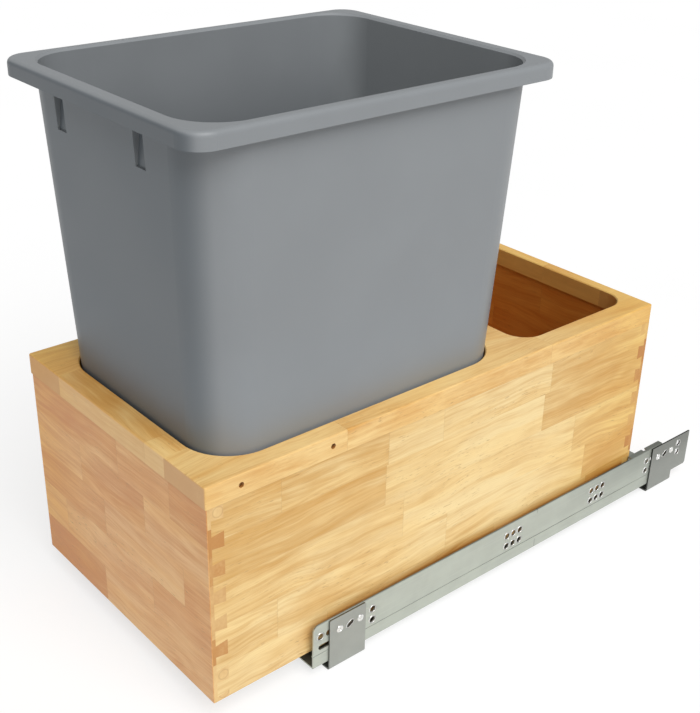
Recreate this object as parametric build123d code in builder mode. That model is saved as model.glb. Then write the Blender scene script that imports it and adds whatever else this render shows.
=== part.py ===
from build123d import *

import os
from math import radians, tan

# Pull-out waste unit for the floor of a kitchen base cabinet: a dovetailed wooden box with a
# cut-out top board, a lift-out bin and a storage well, carried by two full-extension
# undermount slides on floor brackets.
#
# Millimetres. +Z is up and Z = 0 is the cabinet floor under the bracket feet. -Y is the front,
# where the cabinet door is. X = 0 is the middle of the unit. Y = 0 is half-way between the
# front and the rear brackets. The box is drawn pulled out by `pull_out` from its closed place.

os.makedirs("parts", exist_ok=True)

# ---------------------------------------------------------------- driving dimensions: box
box_width = 285.0
box_depth = 548.0
side_height = 194.0
side_thickness = 16.0
front_thickness = 15.5
back_thickness = 12.0
edge_round = 1.0

dovetail_lap = 3.7
tail_count = 7
tail_root = 12.0
tail_slope = 1.0 / 7.0
lowest_tail_rise = 12.7
highest_tail_drop = 19.3

bottom_recess = 12.0
bottom_thickness = 5.5
groove_depth = 5.0
panel_clearance = 0.25

top_thickness = 20.0
top_front_overhang = 1.2
top_side_overhang = 0.6
top_edge_round = 1.6
cutout_edge_bevel = 1.0
bin_cutout_ledge = 2.5
bin_cutout_length = 327.0
bin_cutout_radius = 45.0
bin_cutout_setback = 22.0
bridge_width = 28.5
well_ledge = 6.0
well_rear_margin = 13.0
well_radius = 24.0
pilot_radius = 2.5
pilot_depth = 12.0
pilot_setback = 32.6
pilot_spacing = 92.0

# ---------------------------------------------------------------- driving dimensions: bin
bin_height = 467.0
bin_gap = 2.0
bin_seat_gap = 0.3
bin_draft = 2.34
bin_corner = 42.0
bin_wall = 2.6
bin_foot_bevel = 4.0
bin_foot_recess = 2.0
bin_foot_land = 24.0
bin_foot_corner = 18.0
rim_side_reach = 8.1
rim_end_reach = 12.0
rim_corner = 21.0
rim_height = 13.8
rim_skirt = 2.6
rim_top_round = 4.5
rim_inner_bevel = 2.0
pocket_width = 14.0
pocket_height = 27.0
pocket_drop = 7.5
pocket_top_depth = 6.0
pocket_foot_depth = 2.0
pocket_wall = 2.0
pocket_places = (-67.0, 51.0)

# ---------------------------------------------------------------- driving dimensions: slides
box_floor_gap = 25.0
rail_floor_gap = 10.0
sheet = 1.5
mid_sheet = 1.2
roll_gap = 0.3
rail_length = 521.0
pull_out = 100.0
web_gap = 5.5
web_height = 46.5
web_corner = 6.0
web_rear_step = 2.5
web_bend = 1.2
web_bead_height = 13.8
web_bead_depth = 0.4
top_flange_gap = 0.8
top_flange_length = 54.0
top_flange_setback = 21.5
flange_notch_setback = 28.0
flange_notch_length = 5.5
flange_notch_depth = 3.4
rail_side_gap = 1.2
track_head_half = 5.0
track_head_height = 8.5
track_neck_half = 2.5
track_setback = 18.0
track_rear_setback = 32.0
base_toe = 2.5
mid_step = 2.0
mid_head_height = 6.3
mid_floor_gap = 2.0
mid_neck_gap = 1.1
mid_shortfall = 37.0
mid_setback = 18.0
lip_gap = 2.0
lip_side_gap = 0.7
drawer_rail_setback = 30.0
travel_beyond_rail = 12.0

upper_roller = 5.1
upper_roller_length = 14.0
upper_side_roller = 3.0
upper_side_roller_length = 4.8
lower_roller = 3.0
lower_roller_length = 7.0
lower_side_roller = 3.4
lower_side_roller_length = 5.2
cage_length = 180.0
upper_cage_sheet = 2.2
lower_cage_sheet = 1.8
roller_pocket_gap = 0.2
cage_lip = 1.4
roller_places = (-76.0, 76.0)
side_roller_places = (-60.0, 60.0)
cage_window_length = 24.0
cage_window_places = (-32.0, 0.0, 32.0)

web_hole = 6.2
web_hole_height = 33.0
web_row_spacing = 12.0
web_hole_pitch = 9.2
web_group_shares = (0.4923, 0.7428, 0.9251)
web_front_pair = 8.3
web_oval_place = 69.0
web_slot_start = 6.0
web_slot_length = 17.0
web_slot_width = 5.4

hook_width = 12.0
hook_sheet = 1.5
hook_rise = 15.0
hook_pin = 5.6
hook_bore = 6.0
hook_reach = 7.0
hook_bore_depth = 8.0
hook_height = 11.0
rear_notch_gap = 0.7
hook_gap = 0.3

# ---------------------------------------------------------------- driving dimensions: brackets
bracket_sheet = 1.6
bracket_length = 42.0
bracket_setback = 17.5
bracket_rear_reach = 1.5
bracket_height = 56.0
bracket_foot = 26.0
bracket_corner = 3.0
bracket_bend = 1.6
rear_tab_length = 25.5
rear_tab_bottom = 13.0
rear_tab_corner = 3.0
rear_tab_hole = 6.2
rear_tab_hole_rise = 41.0
rear_tab_hole_spacing = 11.0
rear_tab_hole_setback = 6.0
floor_hole = 5.0
floor_hole_inset = 15.1
floor_hole_pitch = 24.0
bracket_screw_pitch = 24.0
bracket_slot_length = 8.5
bracket_slot_width = 4.2
bracket_slot_angle = 34.0
bracket_screw_height = 42.0
bracket_screw_offset = 2.5
screw_shank = 4.0
screw_hole = 4.4
screw_head = 7.4
screw_head_height = 1.0
screw_length = 5.0

# ---------------------------------------------------------------- driving dimensions: soft-close
damper_width = 18.0
damper_height = 12.0
damper_side_gap = 2.0
damper_length = 154.0
damper_setback = 31.0
damper_floor = 2.0
damper_sill = 4.0
damper_wall = 1.6
damper_front_wall = 5.0
damper_end_wall = 4.0
cylinder_radius = 4.5
cylinder_gap = 0.1
cylinder_length = 76.0
cylinder_bore_depth = 66.0
rod_radius = 1.5
rod_gap = 0.05
rod_length = 60.0
catch_length = 21.7
catch_gap = 0.3
catch_height = 9.0
catch_corner = 1.0
striker_length = 6.0
striker_reach = 7.7
striker_height = 5.5
striker_rise = 5.5

# ---------------------------------------------------------------- driving dimensions: clips
clip_plate = 4.0
clip_flange = 3.0
clip_flange_height = 11.0
clip_flange_width = 32.0
clip_plate_width = 27.9
clip_length = 54.5
clip_corner = 4.0
clip_rail_gap = 0.8
clip_screw_inset = 7.0
clip_screw_rise = 4.2
clip_screw_head = 5.6
clip_screw_head_height = 2.0
clip_screw_shank = 3.0
clip_screw_depth = 9.0
lever_sheet = 4.0
lever_gap = 0.4
lever_pin_radius = 2.0
lever_pin_gap = 0.1
lever_pin_head = 3.5
lever_pin_head_height = 1.2
lever_pin_inset = 17.9
lever_pin_place = 24.5
lever_hub = 6.0
lever_arm = 6.0
lever_nose_length = 5.0
lever_nose_place = 10.0
lever_handle_reach = 26.0
lever_handle_rise = 8.0
lever_grip = 4.0
lever_pad_radius = 7.0
lever_slot_gap = 1.0
lever_slot_sweep = 4.0

# ---------------------------------------------------------------- places worked out from them
box_half = box_width / 2
inner_half = box_half - side_thickness
tail_pitch = (side_height - lowest_tail_rise - highest_tail_drop) / (tail_count - 1)
bracket_pitch = rail_length + bracket_rear_reach - bracket_setback - bracket_length
rail_front_y = -bracket_pitch / 2 - bracket_length / 2 - bracket_setback
rail_rear_y = rail_front_y + rail_length
front_y = rail_front_y - pull_out
rear_y = front_y + box_depth
front_inner_y = front_y + front_thickness
back_inner_y = rear_y - back_thickness
box_bottom_z = box_floor_gap
box_top_z = box_bottom_z + side_height
panel_bottom_z = box_bottom_z + bottom_recess
panel_top_z = panel_bottom_z + bottom_thickness
top_z = box_top_z + top_thickness

# Slide heights, from the bottom panel down to the track of the cabinet rail.
drawer_ceiling_z = panel_bottom_z - sheet
mid_top_z = drawer_ceiling_z - 2 * roll_gap - upper_roller
mid_ceiling_z = mid_top_z - mid_sheet
track_top_z = mid_ceiling_z - 2 * roll_gap - lower_roller
track_head_z = track_top_z - track_head_height
base_z = rail_floor_gap
base_top_z = base_z + sheet
web_top_z = base_z + web_height
mid_step_z = mid_top_z - mid_head_height
mid_bottom_z = base_top_z + mid_floor_gap
drawer_lip_z = mid_step_z - lip_gap - sheet

# Slide half-widths, from the track outwards.
mid_neck_half = track_head_half + 2 * roll_gap + lower_side_roller + mid_sheet
mid_head_half = mid_neck_half + mid_step
drawer_half = mid_head_half + 2 * roll_gap + upper_side_roller + sheet
slide_x = inner_half - rail_side_gap - drawer_half
web_inner_x = box_half + web_gap
web_outer_x = web_inner_x + sheet
bracket_outer_x = web_outer_x + bracket_sheet
base_end_x = slide_x - drawer_half - base_toe

# Slide lengths and where each member stands with the box pulled out by pull_out.
drawer_rail_y = front_y + drawer_rail_setback
drawer_rail_end_y = rear_y + hook_gap + hook_sheet
full_travel = rail_length + travel_beyond_rail
mid_length = rail_length - mid_shortfall
mid_y = rail_front_y + mid_setback - pull_out / 2
mid_open_y = rail_front_y + mid_setback - full_travel / 2
drawer_open_end_y = drawer_rail_end_y + pull_out - full_travel
lower_cage_open_y = (rail_front_y + track_setback + mid_open_y + mid_length) / 2
lower_cage_y = lower_cage_open_y + (full_travel - pull_out) / 4
upper_cage_open_y = (mid_open_y + drawer_open_end_y) / 2
upper_cage_y = upper_cage_open_y + (full_travel - pull_out) * 3 / 4

# Top board openings and the bin that hangs through the first of them.
bin_cutout_width = 2 * (inner_half - bin_cutout_ledge)
bin_y = front_y + bin_cutout_setback + bin_cutout_length / 2
well_width = 2 * (inner_half - well_ledge)
well_length = box_depth - bin_cutout_setback - bin_cutout_length - bridge_width - well_rear_margin
well_y = rear_y - well_rear_margin - well_length / 2
bin_floor_z = panel_top_z + bin_seat_gap
bin_top_z = bin_floor_z + bin_height
rim_z = bin_top_z - rim_height
bin_flare = (bin_top_z - top_z) * tan(radians(bin_draft))
rim_width = bin_cutout_width + 2 * (bin_flare + rim_side_reach - bin_gap)
rim_length = bin_cutout_length + 2 * (bin_flare + rim_end_reach - bin_gap)

# Soft-close unit, on the base of the cabinet rail, outboard of the drawer rail.
damper_x = web_inner_x - damper_side_gap - damper_width / 2
damper_end_y = rail_rear_y - damper_setback
damper_y = damper_end_y - damper_length
cylinder_y = damper_end_y - damper_end_wall - cylinder_length
damper_channel_end_y = cylinder_y - catch_gap
catch_back_y = damper_channel_end_y - catch_gap
catch_front_y = catch_back_y - catch_length
cylinder_z = base_top_z + damper_height / 2
striker_closed_y = catch_front_y - catch_gap - striker_length / 2
striker_y = striker_closed_y - pull_out
striker_x = slide_x + drawer_half
striker_z = base_top_z + striker_rise

# Locking clip at the front end of the drawer rail, behind the front board.
clip_x = slide_x - drawer_half - clip_rail_gap
clip_z = panel_bottom_z - clip_plate
lever_pin_x = clip_x - lever_pin_inset
lever_pin_y = front_inner_y + lever_pin_place
lever_top_z = clip_z - lever_gap
lever_bottom_z = lever_top_z - lever_sheet
lever_nose_x = slide_x - drawer_half + sheet - roll_gap


def keep(piece, name):
    """Label a finished piece and write it as one file."""
    piece.part.label = name
    export_step(piece.part, f"parts/{name}.step")


def keep_pair(piece, name):
    """Write a right-hand piece and its mirror image for the left-hand slide."""
    keep(piece, f"{name}_right")
    with BuildPart() as twin:
        mirror(piece.part, about=Plane.YZ)
    keep(twin, f"{name}_left")


def across(y):
    """Plane at depth y with X to the right and Z up. A positive extrusion goes to the front."""
    return Plane.XZ.offset(-y)


def sheet_strip(points, thickness, side, y_start, y_end):
    """Rolled strip between two depths: one face follows the points, the other lies beside it."""
    with BuildSketch(across(y_end)) as section:
        with BuildLine():
            Polyline(*points)
            offset(amount=thickness, side=side, kind=Kind.TANGENT)
        make_face()
    extrude(section.sketch, amount=y_end - y_start)


def tail_row(start_x, root_y, tip_y):
    """Faces of one row of dovetails, narrow at the root and wide at the tip."""
    flare = abs(tip_y - root_y) * tail_slope
    with BuildSketch(Plane.YZ.offset(start_x)) as row:
        for number in range(tail_count):
            centre = box_bottom_z + lowest_tail_rise + number * tail_pitch
            with BuildLine():
                Polyline(
                    (root_y, centre - tail_root / 2),
                    (tip_y, centre - tail_root / 2 - flare),
                    (tip_y, centre + tail_root / 2 + flare),
                    (root_y, centre + tail_root / 2),
                    close=True,
                )
            make_face()
    return row.sketch


# ---------------------------------------------------------------- box
def build_side():
    """Side board with seven tails at the front and seven at the back, grooved for the panel."""
    with BuildPart() as side:
        with BuildSketch(Plane.YZ.offset(inner_half)):
            with Locations(((front_inner_y + back_inner_y) / 2, box_bottom_z + side_height / 2)):
                Rectangle(back_inner_y - front_inner_y, side_height)
        extrude(amount=side_thickness)
        extrude(tail_row(inner_half, front_inner_y, front_y + dovetail_lap), amount=side_thickness)
        extrude(tail_row(inner_half, back_inner_y, rear_y - dovetail_lap), amount=side_thickness)
        with BuildSketch(Plane.XY.offset(panel_bottom_z)):
            with Locations((inner_half + groove_depth / 2, (front_inner_y + back_inner_y) / 2)):
                Rectangle(groove_depth, back_inner_y - front_inner_y + 2 * groove_depth)
        extrude(amount=bottom_thickness, mode=Mode.SUBTRACT)
    keep_pair(side, "side_board")


def cut_tail_sockets(root_y, tip_y):
    """Sockets in both ends of a front or back board, the exact shape of the side boards' tails."""
    for start_x in (inner_half, -box_half):
        extrude(tail_row(start_x, root_y, tip_y), amount=side_thickness, mode=Mode.SUBTRACT)


def build_front():
    """Front board: half-blind sockets, panel groove and pilot holes for the clip screws."""
    with BuildPart() as front:
        with BuildSketch(across(front_inner_y)):
            with Locations((0, box_bottom_z + side_height / 2)):
                Rectangle(box_width, side_height)
        extrude(amount=front_thickness)
        cut_tail_sockets(front_inner_y, front_y + dovetail_lap)
        with BuildSketch(Plane.XY.offset(panel_bottom_z)):
            with Locations((0, front_inner_y - groove_depth / 2)):
                Rectangle(2 * inner_half, groove_depth)
        extrude(amount=bottom_thickness, mode=Mode.SUBTRACT)
        with BuildSketch(across(front_inner_y)):
            with Locations(*clip_screw_places()):
                Circle(clip_screw_shank / 2)
        extrude(amount=clip_screw_depth, mode=Mode.SUBTRACT)
        long_edges = front.edges().filter_by(Axis.Z).group_by(Axis.Y)[0]
        fillet(long_edges, edge_round)
    keep(front, "front_board")


def build_back():
    """Back board: sockets, panel groove, a notch and a bore for each slide's rear hook."""
    notch_width = inner_half - (slide_x - drawer_half - rear_notch_gap)
    with BuildPart() as back:
        with BuildSketch(across(rear_y)):
            with Locations((0, box_bottom_z + side_height / 2)):
                Rectangle(box_width, side_height)
        extrude(amount=back_thickness)
        cut_tail_sockets(back_inner_y, rear_y - dovetail_lap)
        with BuildSketch(Plane.XY.offset(panel_bottom_z)):
            with Locations((0, back_inner_y + groove_depth / 2)):
                Rectangle(2 * inner_half, groove_depth)
        extrude(amount=bottom_thickness, mode=Mode.SUBTRACT)
        for way in (1, -1):
            with BuildSketch(across(rear_y)):
                with Locations((way * (inner_half - notch_width / 2), box_bottom_z + bottom_recess / 2)):
                    Rectangle(notch_width, bottom_recess)
            extrude(amount=back_thickness, mode=Mode.SUBTRACT)
            with BuildSketch(across(rear_y)):
                with Locations((way * slide_x, panel_bottom_z + hook_height)):
                    Circle(hook_bore / 2)
            extrude(amount=hook_bore_depth, mode=Mode.SUBTRACT)
    keep(back, "back_board")


def build_bottom():
    """Bottom panel, loose in the grooves of the four boards."""
    with BuildPart() as bottom:
        with BuildSketch(Plane.XY.offset(panel_bottom_z)):
            with Locations((0, (front_inner_y + back_inner_y) / 2)):
                Rectangle(
                    2 * (inner_half + groove_depth - panel_clearance),
                    back_inner_y - front_inner_y + 2 * (groove_depth - panel_clearance),
                )
        extrude(amount=bottom_thickness)
    keep(bottom, "bottom_panel")


def build_top():
    """Top board with the bin cut-out, the well and the pilot holes in its two side edges."""
    top_width = box_width + 2 * top_side_overhang
    top_depth = box_depth + top_front_overhang
    with BuildPart() as top:
        with BuildSketch(Plane.XY.offset(box_top_z)):
            with Locations((0, rear_y - top_depth / 2)):
                Rectangle(top_width, top_depth)
        extrude(amount=top_thickness)
        lower_edges = top.edges().group_by(Axis.Z)[0]
        fillet(top.edges() - lower_edges, top_edge_round)
        with BuildSketch(Plane.XY.offset(box_top_z)):
            with Locations((0, bin_y)):
                RectangleRounded(bin_cutout_width, bin_cutout_length, bin_cutout_radius)
            with Locations((0, well_y)):
                RectangleRounded(well_width, well_length, well_radius)
        extrude(amount=top_thickness, mode=Mode.SUBTRACT)
        upper_face = top.faces().sort_by(Axis.Z)[-1]
        chamfer(upper_face.inner_wires().edges(), cutout_edge_bevel)
        for way in (1, -1):
            edge_plane = Plane.YZ.offset(way * top_width / 2)
            with BuildSketch(edge_plane):
                for step in (0, 1):
                    pilot_y = front_y + pilot_setback + step * pilot_spacing
                    with Locations((pilot_y, box_top_z + top_thickness / 2)):
                        Circle(pilot_radius)
            extrude(amount=-way * pilot_depth, mode=Mode.SUBTRACT)
    keep(top, "top_board")


# ---------------------------------------------------------------- bin
def bin_half_size(z):
    """Half width and half length of the bin's outer wall at height z."""
    flare = (z - top_z) * tan(radians(bin_draft))
    return (
        bin_cutout_width / 2 - bin_gap + flare,
        bin_cutout_length / 2 - bin_gap + flare,
    )


def bin_block(floor_z, inset):
    """Tapered block with rounded corners, the bin's outer shape drawn in by inset."""
    floor_width, floor_length = bin_half_size(floor_z)
    top_width, top_length = bin_half_size(bin_top_z)
    with BuildPart() as block:
        with BuildSketch(across(bin_y)):
            with BuildLine():
                Polyline(
                    (inset - floor_width, floor_z),
                    (floor_width - inset, floor_z),
                    (top_width - inset, bin_top_z),
                    (inset - top_width, bin_top_z),
                    close=True,
                )
            make_face()
        extrude(amount=top_length, both=True)
        with BuildSketch(Plane.YZ):
            with BuildLine():
                Polyline(
                    (bin_y + inset - floor_length, floor_z),
                    (bin_y + floor_length - inset, floor_z),
                    (bin_y + top_length - inset, bin_top_z),
                    (bin_y + inset - top_length, bin_top_z),
                    close=True,
                )
            make_face()
        extrude(amount=top_width, both=True, mode=Mode.INTERSECT)
        slanted_edges = block.edges().group_by(Axis.Z)[1]
        fillet(slanted_edges, bin_corner - inset)
    return block.part


def pocket_wedge(place, grow, mode):
    """Wedge under the rim in the front wall, deep at its top, for one of the two pockets."""
    upper_z = rim_z - pocket_drop + grow
    lower_z = rim_z - pocket_drop - pocket_height - grow
    upper_y = bin_y - bin_half_size(upper_z)[1]
    lower_y = bin_y - bin_half_size(lower_z)[1]
    with BuildSketch(Plane.YZ.offset(place)) as profile:
        with BuildLine():
            Polyline(
                (upper_y, upper_z),
                (upper_y + pocket_top_depth + grow, upper_z),
                (lower_y + pocket_foot_depth + grow, lower_z),
                (lower_y, lower_z),
                close=True,
            )
        make_face()
    extrude(profile.sketch, amount=pocket_width / 2 + grow, both=True, mode=mode)


def build_bin():
    """Bin: tapered shell, rolled rim with a hollow skirt, and two pockets under the rim."""
    inner_floor_z = bin_floor_z + bin_foot_recess + bin_wall
    foot_width, foot_length = bin_half_size(bin_floor_z)
    with BuildPart() as bin_body:
        with BuildSketch(Plane((0, bin_y, rim_z))):
            RectangleRounded(rim_width, rim_length, rim_corner)
        extrude(amount=rim_height)
        top_face = bin_body.faces().sort_by(Axis.Z)[-1]
        fillet(top_face.edges(), rim_top_round)
        with BuildSketch(Plane((0, bin_y, rim_z))):
            RectangleRounded(rim_width - 2 * rim_skirt, rim_length - 2 * rim_skirt, rim_corner - rim_skirt)
        extrude(amount=rim_height - rim_skirt, mode=Mode.SUBTRACT)
        add(bin_block(bin_floor_z, 0))
        foot_face = bin_body.faces().sort_by(Axis.Z)[0]
        chamfer(foot_face.edges(), bin_foot_bevel)
        add(bin_block(inner_floor_z, bin_wall), mode=Mode.SUBTRACT)
        with BuildSketch(Plane((0, bin_y, bin_floor_z))):
            RectangleRounded(
                2 * (foot_width - bin_foot_land),
                2 * (foot_length - bin_foot_land),
                bin_foot_corner,
            )
        extrude(amount=bin_foot_recess, mode=Mode.SUBTRACT)
        for place in pocket_places:
            pocket_wedge(place, pocket_wall, Mode.ADD)
            pocket_wedge(place, 0, Mode.SUBTRACT)
        top_face = bin_body.faces().sort_by(Axis.Z)[-1]
        chamfer(top_face.inner_wires().edges(), rim_inner_bevel)
    keep(bin_body, "bin")


# ---------------------------------------------------------------- slides
def cabinet_rail_path():
    """Outer and lower face of the rolled cabinet rail, from its top flange to its inboard toe."""
    bead_z = base_z + web_bead_height
    neck = track_neck_half - sheet
    head = track_head_half - sheet
    return (
        (box_half + top_flange_gap, web_top_z),
        (web_outer_x, web_top_z),
        (web_outer_x, bead_z + web_bead_depth),
        (web_outer_x - web_bead_depth, bead_z),
        (web_outer_x, bead_z - web_bead_depth),
        (web_outer_x, base_z),
        (slide_x + neck, base_z),
        (slide_x + neck, track_head_z + sheet),
        (slide_x + head, track_head_z + sheet),
        (slide_x + head, track_top_z - sheet),
        (slide_x - head, track_top_z - sheet),
        (slide_x - head, track_head_z + sheet),
        (slide_x - neck, track_head_z + sheet),
        (slide_x - neck, base_z),
        (base_end_x, base_z),
    )


def web_hole_sketch():
    """All holes of the web, on the YZ plane."""
    rows = (base_z + web_hole_height - web_row_spacing, base_z + web_hole_height)
    centres = [rail_front_y + share * rail_length for share in web_group_shares]
    for row_z in rows:
        for centre in centres:
            for step in (-1, 0, 1):
                with Locations((centre + step * web_hole_pitch, row_z)):
                    Circle(web_hole / 2)
        with Locations((rail_front_y + web_oval_place, row_z)):
            Circle(web_hole / 2)
    for step in (0, 1):
        with Locations((rail_front_y + web_front_pair + step * web_hole_pitch, rows[1])):
            Circle(web_hole / 2)
    with Locations((rail_front_y + web_slot_start + web_slot_length / 2, rows[0])):
        SlotOverall(web_slot_length, web_slot_width)
    for way in (-1, 1):
        with Locations((way * bracket_pitch / 2 + bracket_screw_offset, bracket_screw_height)):
            Circle(web_hole / 2)


def bracket_screw_places():
    """Places of the screws that hold the web to the two brackets, on the YZ plane."""
    places = []
    for way in (-1, 1):
        for step in (-0.5, 0.5):
            y = way * bracket_pitch / 2 + bracket_screw_offset + step * bracket_screw_pitch
            places.append((y, bracket_screw_height))
    return places


def web_corner_waste():
    """What is cut off the web to round its upper front corner."""
    with BuildSketch(Plane.YZ.offset(web_inner_x)) as waste:
        with Locations((rail_front_y + web_corner / 2, web_top_z - web_corner / 2)):
            Rectangle(web_corner, web_corner)
        with Locations((rail_front_y + web_corner, web_top_z - web_corner)):
            Circle(web_corner, mode=Mode.SUBTRACT)
    return waste.sketch


def build_cabinet_rail():
    """Fixed rail: web with a notched flange at its rear, base and the mushroom-shaped track."""
    flange_reach = web_inner_x - box_half - top_flange_gap
    flange_end_y = rail_rear_y - top_flange_setback
    flange_start_y = flange_end_y - top_flange_length
    flange_x = web_inner_x - flange_reach / 2
    notch_x = box_half + top_flange_gap + flange_notch_depth / 2
    with BuildPart() as rail:
        sheet_strip(cabinet_rail_path(), sheet, Side.RIGHT, rail_front_y, rail_rear_y)
        with BuildSketch(Plane.XY.offset(web_top_z - sheet)):
            with Locations((flange_x, (rail_front_y + flange_start_y) / 2)):
                Rectangle(flange_reach, flange_start_y - rail_front_y)
            with Locations((flange_x, (flange_end_y + rail_rear_y) / 2)):
                Rectangle(flange_reach, rail_rear_y - flange_end_y)
            with Locations((notch_x, flange_end_y - flange_notch_setback)):
                Rectangle(flange_notch_depth, flange_notch_length)
        extrude(amount=sheet, mode=Mode.SUBTRACT)
        with BuildSketch(Plane.XY.offset(base_top_z)):
            with Locations((slide_x, rail_front_y + track_setback / 2)):
                Rectangle(2 * track_head_half, track_setback)
            with Locations((slide_x, rail_rear_y - track_rear_setback / 2)):
                Rectangle(2 * track_head_half, track_rear_setback)
        extrude(amount=track_top_z - base_top_z, mode=Mode.SUBTRACT)
        bends = rail.edges().filter_by(Axis.Y).group_by(Axis.X)[-1].sort_by(Axis.Z)
        fillet([bends[0], bends[-1]], web_bend)
        extrude(web_corner_waste(), amount=sheet, mode=Mode.SUBTRACT)
        with BuildSketch(Plane.YZ.offset(web_inner_x)):
            with Locations(((flange_end_y + rail_rear_y) / 2, web_top_z - web_rear_step / 2)):
                Rectangle(rail_rear_y - flange_end_y, web_rear_step)
            web_hole_sketch()
            with Locations(*bracket_screw_places()):
                Circle(screw_hole / 2)
        extrude(amount=sheet, mode=Mode.SUBTRACT)
    keep_pair(rail, "cabinet_rail")


def build_intermediate_rail():
    """Middle rail: rides on the track and carries the drawer rail."""
    lip = track_neck_half + mid_neck_gap
    path = (
        (slide_x - lip, mid_bottom_z),
        (slide_x - mid_neck_half, mid_bottom_z),
        (slide_x - mid_neck_half, mid_step_z),
        (slide_x - mid_head_half, mid_step_z),
        (slide_x - mid_head_half, mid_top_z),
        (slide_x + mid_head_half, mid_top_z),
        (slide_x + mid_head_half, mid_step_z),
        (slide_x + mid_neck_half, mid_step_z),
        (slide_x + mid_neck_half, mid_bottom_z),
        (slide_x + lip, mid_bottom_z),
    )
    with BuildPart() as rail:
        sheet_strip(path, mid_sheet, Side.RIGHT, mid_y, mid_y + mid_length)
    keep_pair(rail, "intermediate_rail")


def build_drawer_rail():
    """Rail under the box, with the rear hook, the striker and the slot for the lever's nose."""
    lip = mid_neck_half + lip_side_gap
    path = (
        (slide_x - lip, drawer_lip_z),
        (slide_x - drawer_half, drawer_lip_z),
        (slide_x - drawer_half, panel_bottom_z),
        (slide_x + drawer_half, panel_bottom_z),
        (slide_x + drawer_half, drawer_lip_z),
        (slide_x + lip, drawer_lip_z),
    )
    slot_start_y = lever_pin_y + lever_nose_place - lever_nose_length / 2 - lever_slot_gap
    slot_length = lever_nose_length + 2 * lever_slot_gap + lever_slot_sweep
    slot_z = (lever_bottom_z + lever_top_z) / 2
    with BuildPart() as rail:
        sheet_strip(path, sheet, Side.RIGHT, drawer_rail_y, drawer_rail_end_y)
        with BuildSketch(across(drawer_rail_end_y)):
            with Locations((slide_x, drawer_ceiling_z + (hook_rise + sheet) / 2)):
                Rectangle(hook_width, hook_rise + sheet)
        extrude(amount=hook_sheet)
        with BuildSketch(across(rear_y + hook_gap)):
            with Locations((slide_x, panel_bottom_z + hook_height)):
                Circle(hook_pin / 2)
        extrude(amount=hook_reach)
        with BuildSketch(Plane.YZ.offset(striker_x)):
            with Locations((striker_y, striker_z + striker_height / 2)):
                Rectangle(striker_length, striker_height)
        extrude(amount=striker_reach)
        with BuildSketch(Plane.YZ.offset(slide_x - drawer_half)):
            with Locations((slot_start_y + slot_length / 2, slot_z)):
                Rectangle(slot_length, lever_sheet + 2 * lever_slot_gap)
        extrude(amount=sheet, mode=Mode.SUBTRACT)
    keep_pair(rail, "drawer_rail")


# ---------------------------------------------------------------- roller carriages
def build_carriage(
    level, centre_y, floor_z, floor_half, roller, roller_length, side_roller, side_length, side_z, plate
):
    """One cage and its rollers: flat rollers on top of a rail, upright ones along its two sides.

    The rail below has its top at floor_z and its flanks at floor_half from the slide's middle.
    """
    roller_z = floor_z + roll_gap + roller / 2
    side_x = floor_half + roll_gap + side_roller / 2
    outer = side_x + plate / 2
    upper_z = roller_z + plate / 2
    lower_z = side_z - cage_lip
    path = (
        (slide_x - outer, lower_z),
        (slide_x - outer, upper_z),
        (slide_x + outer, upper_z),
        (slide_x + outer, lower_z),
    )
    with BuildPart() as cage:
        sheet_strip(path, plate, Side.RIGHT, centre_y - cage_length / 2, centre_y + cage_length / 2)
        with BuildSketch(Plane.XY.offset(upper_z - plate)):
            for station in roller_places:
                with Locations((slide_x, centre_y + station)):
                    Rectangle(roller_length + 2 * roller_pocket_gap, roller + 2 * roller_pocket_gap)
            for station in cage_window_places:
                with Locations((slide_x, centre_y + station)):
                    Rectangle(roller_length / 2, cage_window_length)
        extrude(amount=plate, mode=Mode.SUBTRACT)
        with BuildSketch(Plane.YZ.offset(slide_x)):
            for station in side_roller_places:
                with Locations((centre_y + station, side_z + side_length / 2)):
                    Rectangle(side_roller + 2 * roller_pocket_gap, side_length + 2 * roller_pocket_gap)
        extrude(amount=outer, both=True, mode=Mode.SUBTRACT)
    keep_pair(cage, f"{level}_cage")

    with BuildPart() as rollers:
        with BuildSketch(Plane.YZ.offset(slide_x)):
            for station in roller_places:
                with Locations((centre_y + station, roller_z)):
                    Circle(roller / 2)
        extrude(amount=roller_length / 2, both=True)
        with BuildSketch(Plane.XY.offset(side_z)):
            for way in (1, -1):
                for station in side_roller_places:
                    with Locations((slide_x + way * side_x, centre_y + station)):
                        Circle(side_roller / 2)
        extrude(amount=side_length)
    keep_pair(rollers, f"{level}_rollers")


def build_carriages():
    """Lower carriage on the track and upper carriage on the intermediate rail."""
    build_carriage(
        level="lower",
        centre_y=lower_cage_y,
        floor_z=track_top_z,
        floor_half=track_head_half,
        roller=lower_roller,
        roller_length=lower_roller_length,
        side_roller=lower_side_roller,
        side_length=lower_side_roller_length,
        side_z=(track_head_z + track_top_z - lower_side_roller_length) / 2,
        plate=lower_cage_sheet,
    )
    build_carriage(
        level="upper",
        centre_y=upper_cage_y,
        floor_z=mid_top_z,
        floor_half=mid_head_half,
        roller=upper_roller,
        roller_length=upper_roller_length,
        side_roller=upper_side_roller,
        side_length=upper_side_roller_length,
        side_z=(mid_step_z + mid_top_z - upper_side_roller_length) / 2,
        plate=upper_cage_sheet,
    )


# ---------------------------------------------------------------- brackets
def bracket_blank(centre_y):
    """Folded plate of one bracket: foot on the floor, upright against the web of the rail."""
    with BuildSketch(across(centre_y + bracket_length / 2)) as section:
        with BuildLine():
            FilletPolyline(
                (bracket_outer_x - bracket_foot, 0),
                (bracket_outer_x, 0),
                (bracket_outer_x, bracket_height),
                radius=bracket_bend + bracket_sheet,
            )
            offset(amount=bracket_sheet, side=Side.LEFT)
        make_face()
    extrude(section.sketch, amount=bracket_length)


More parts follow.
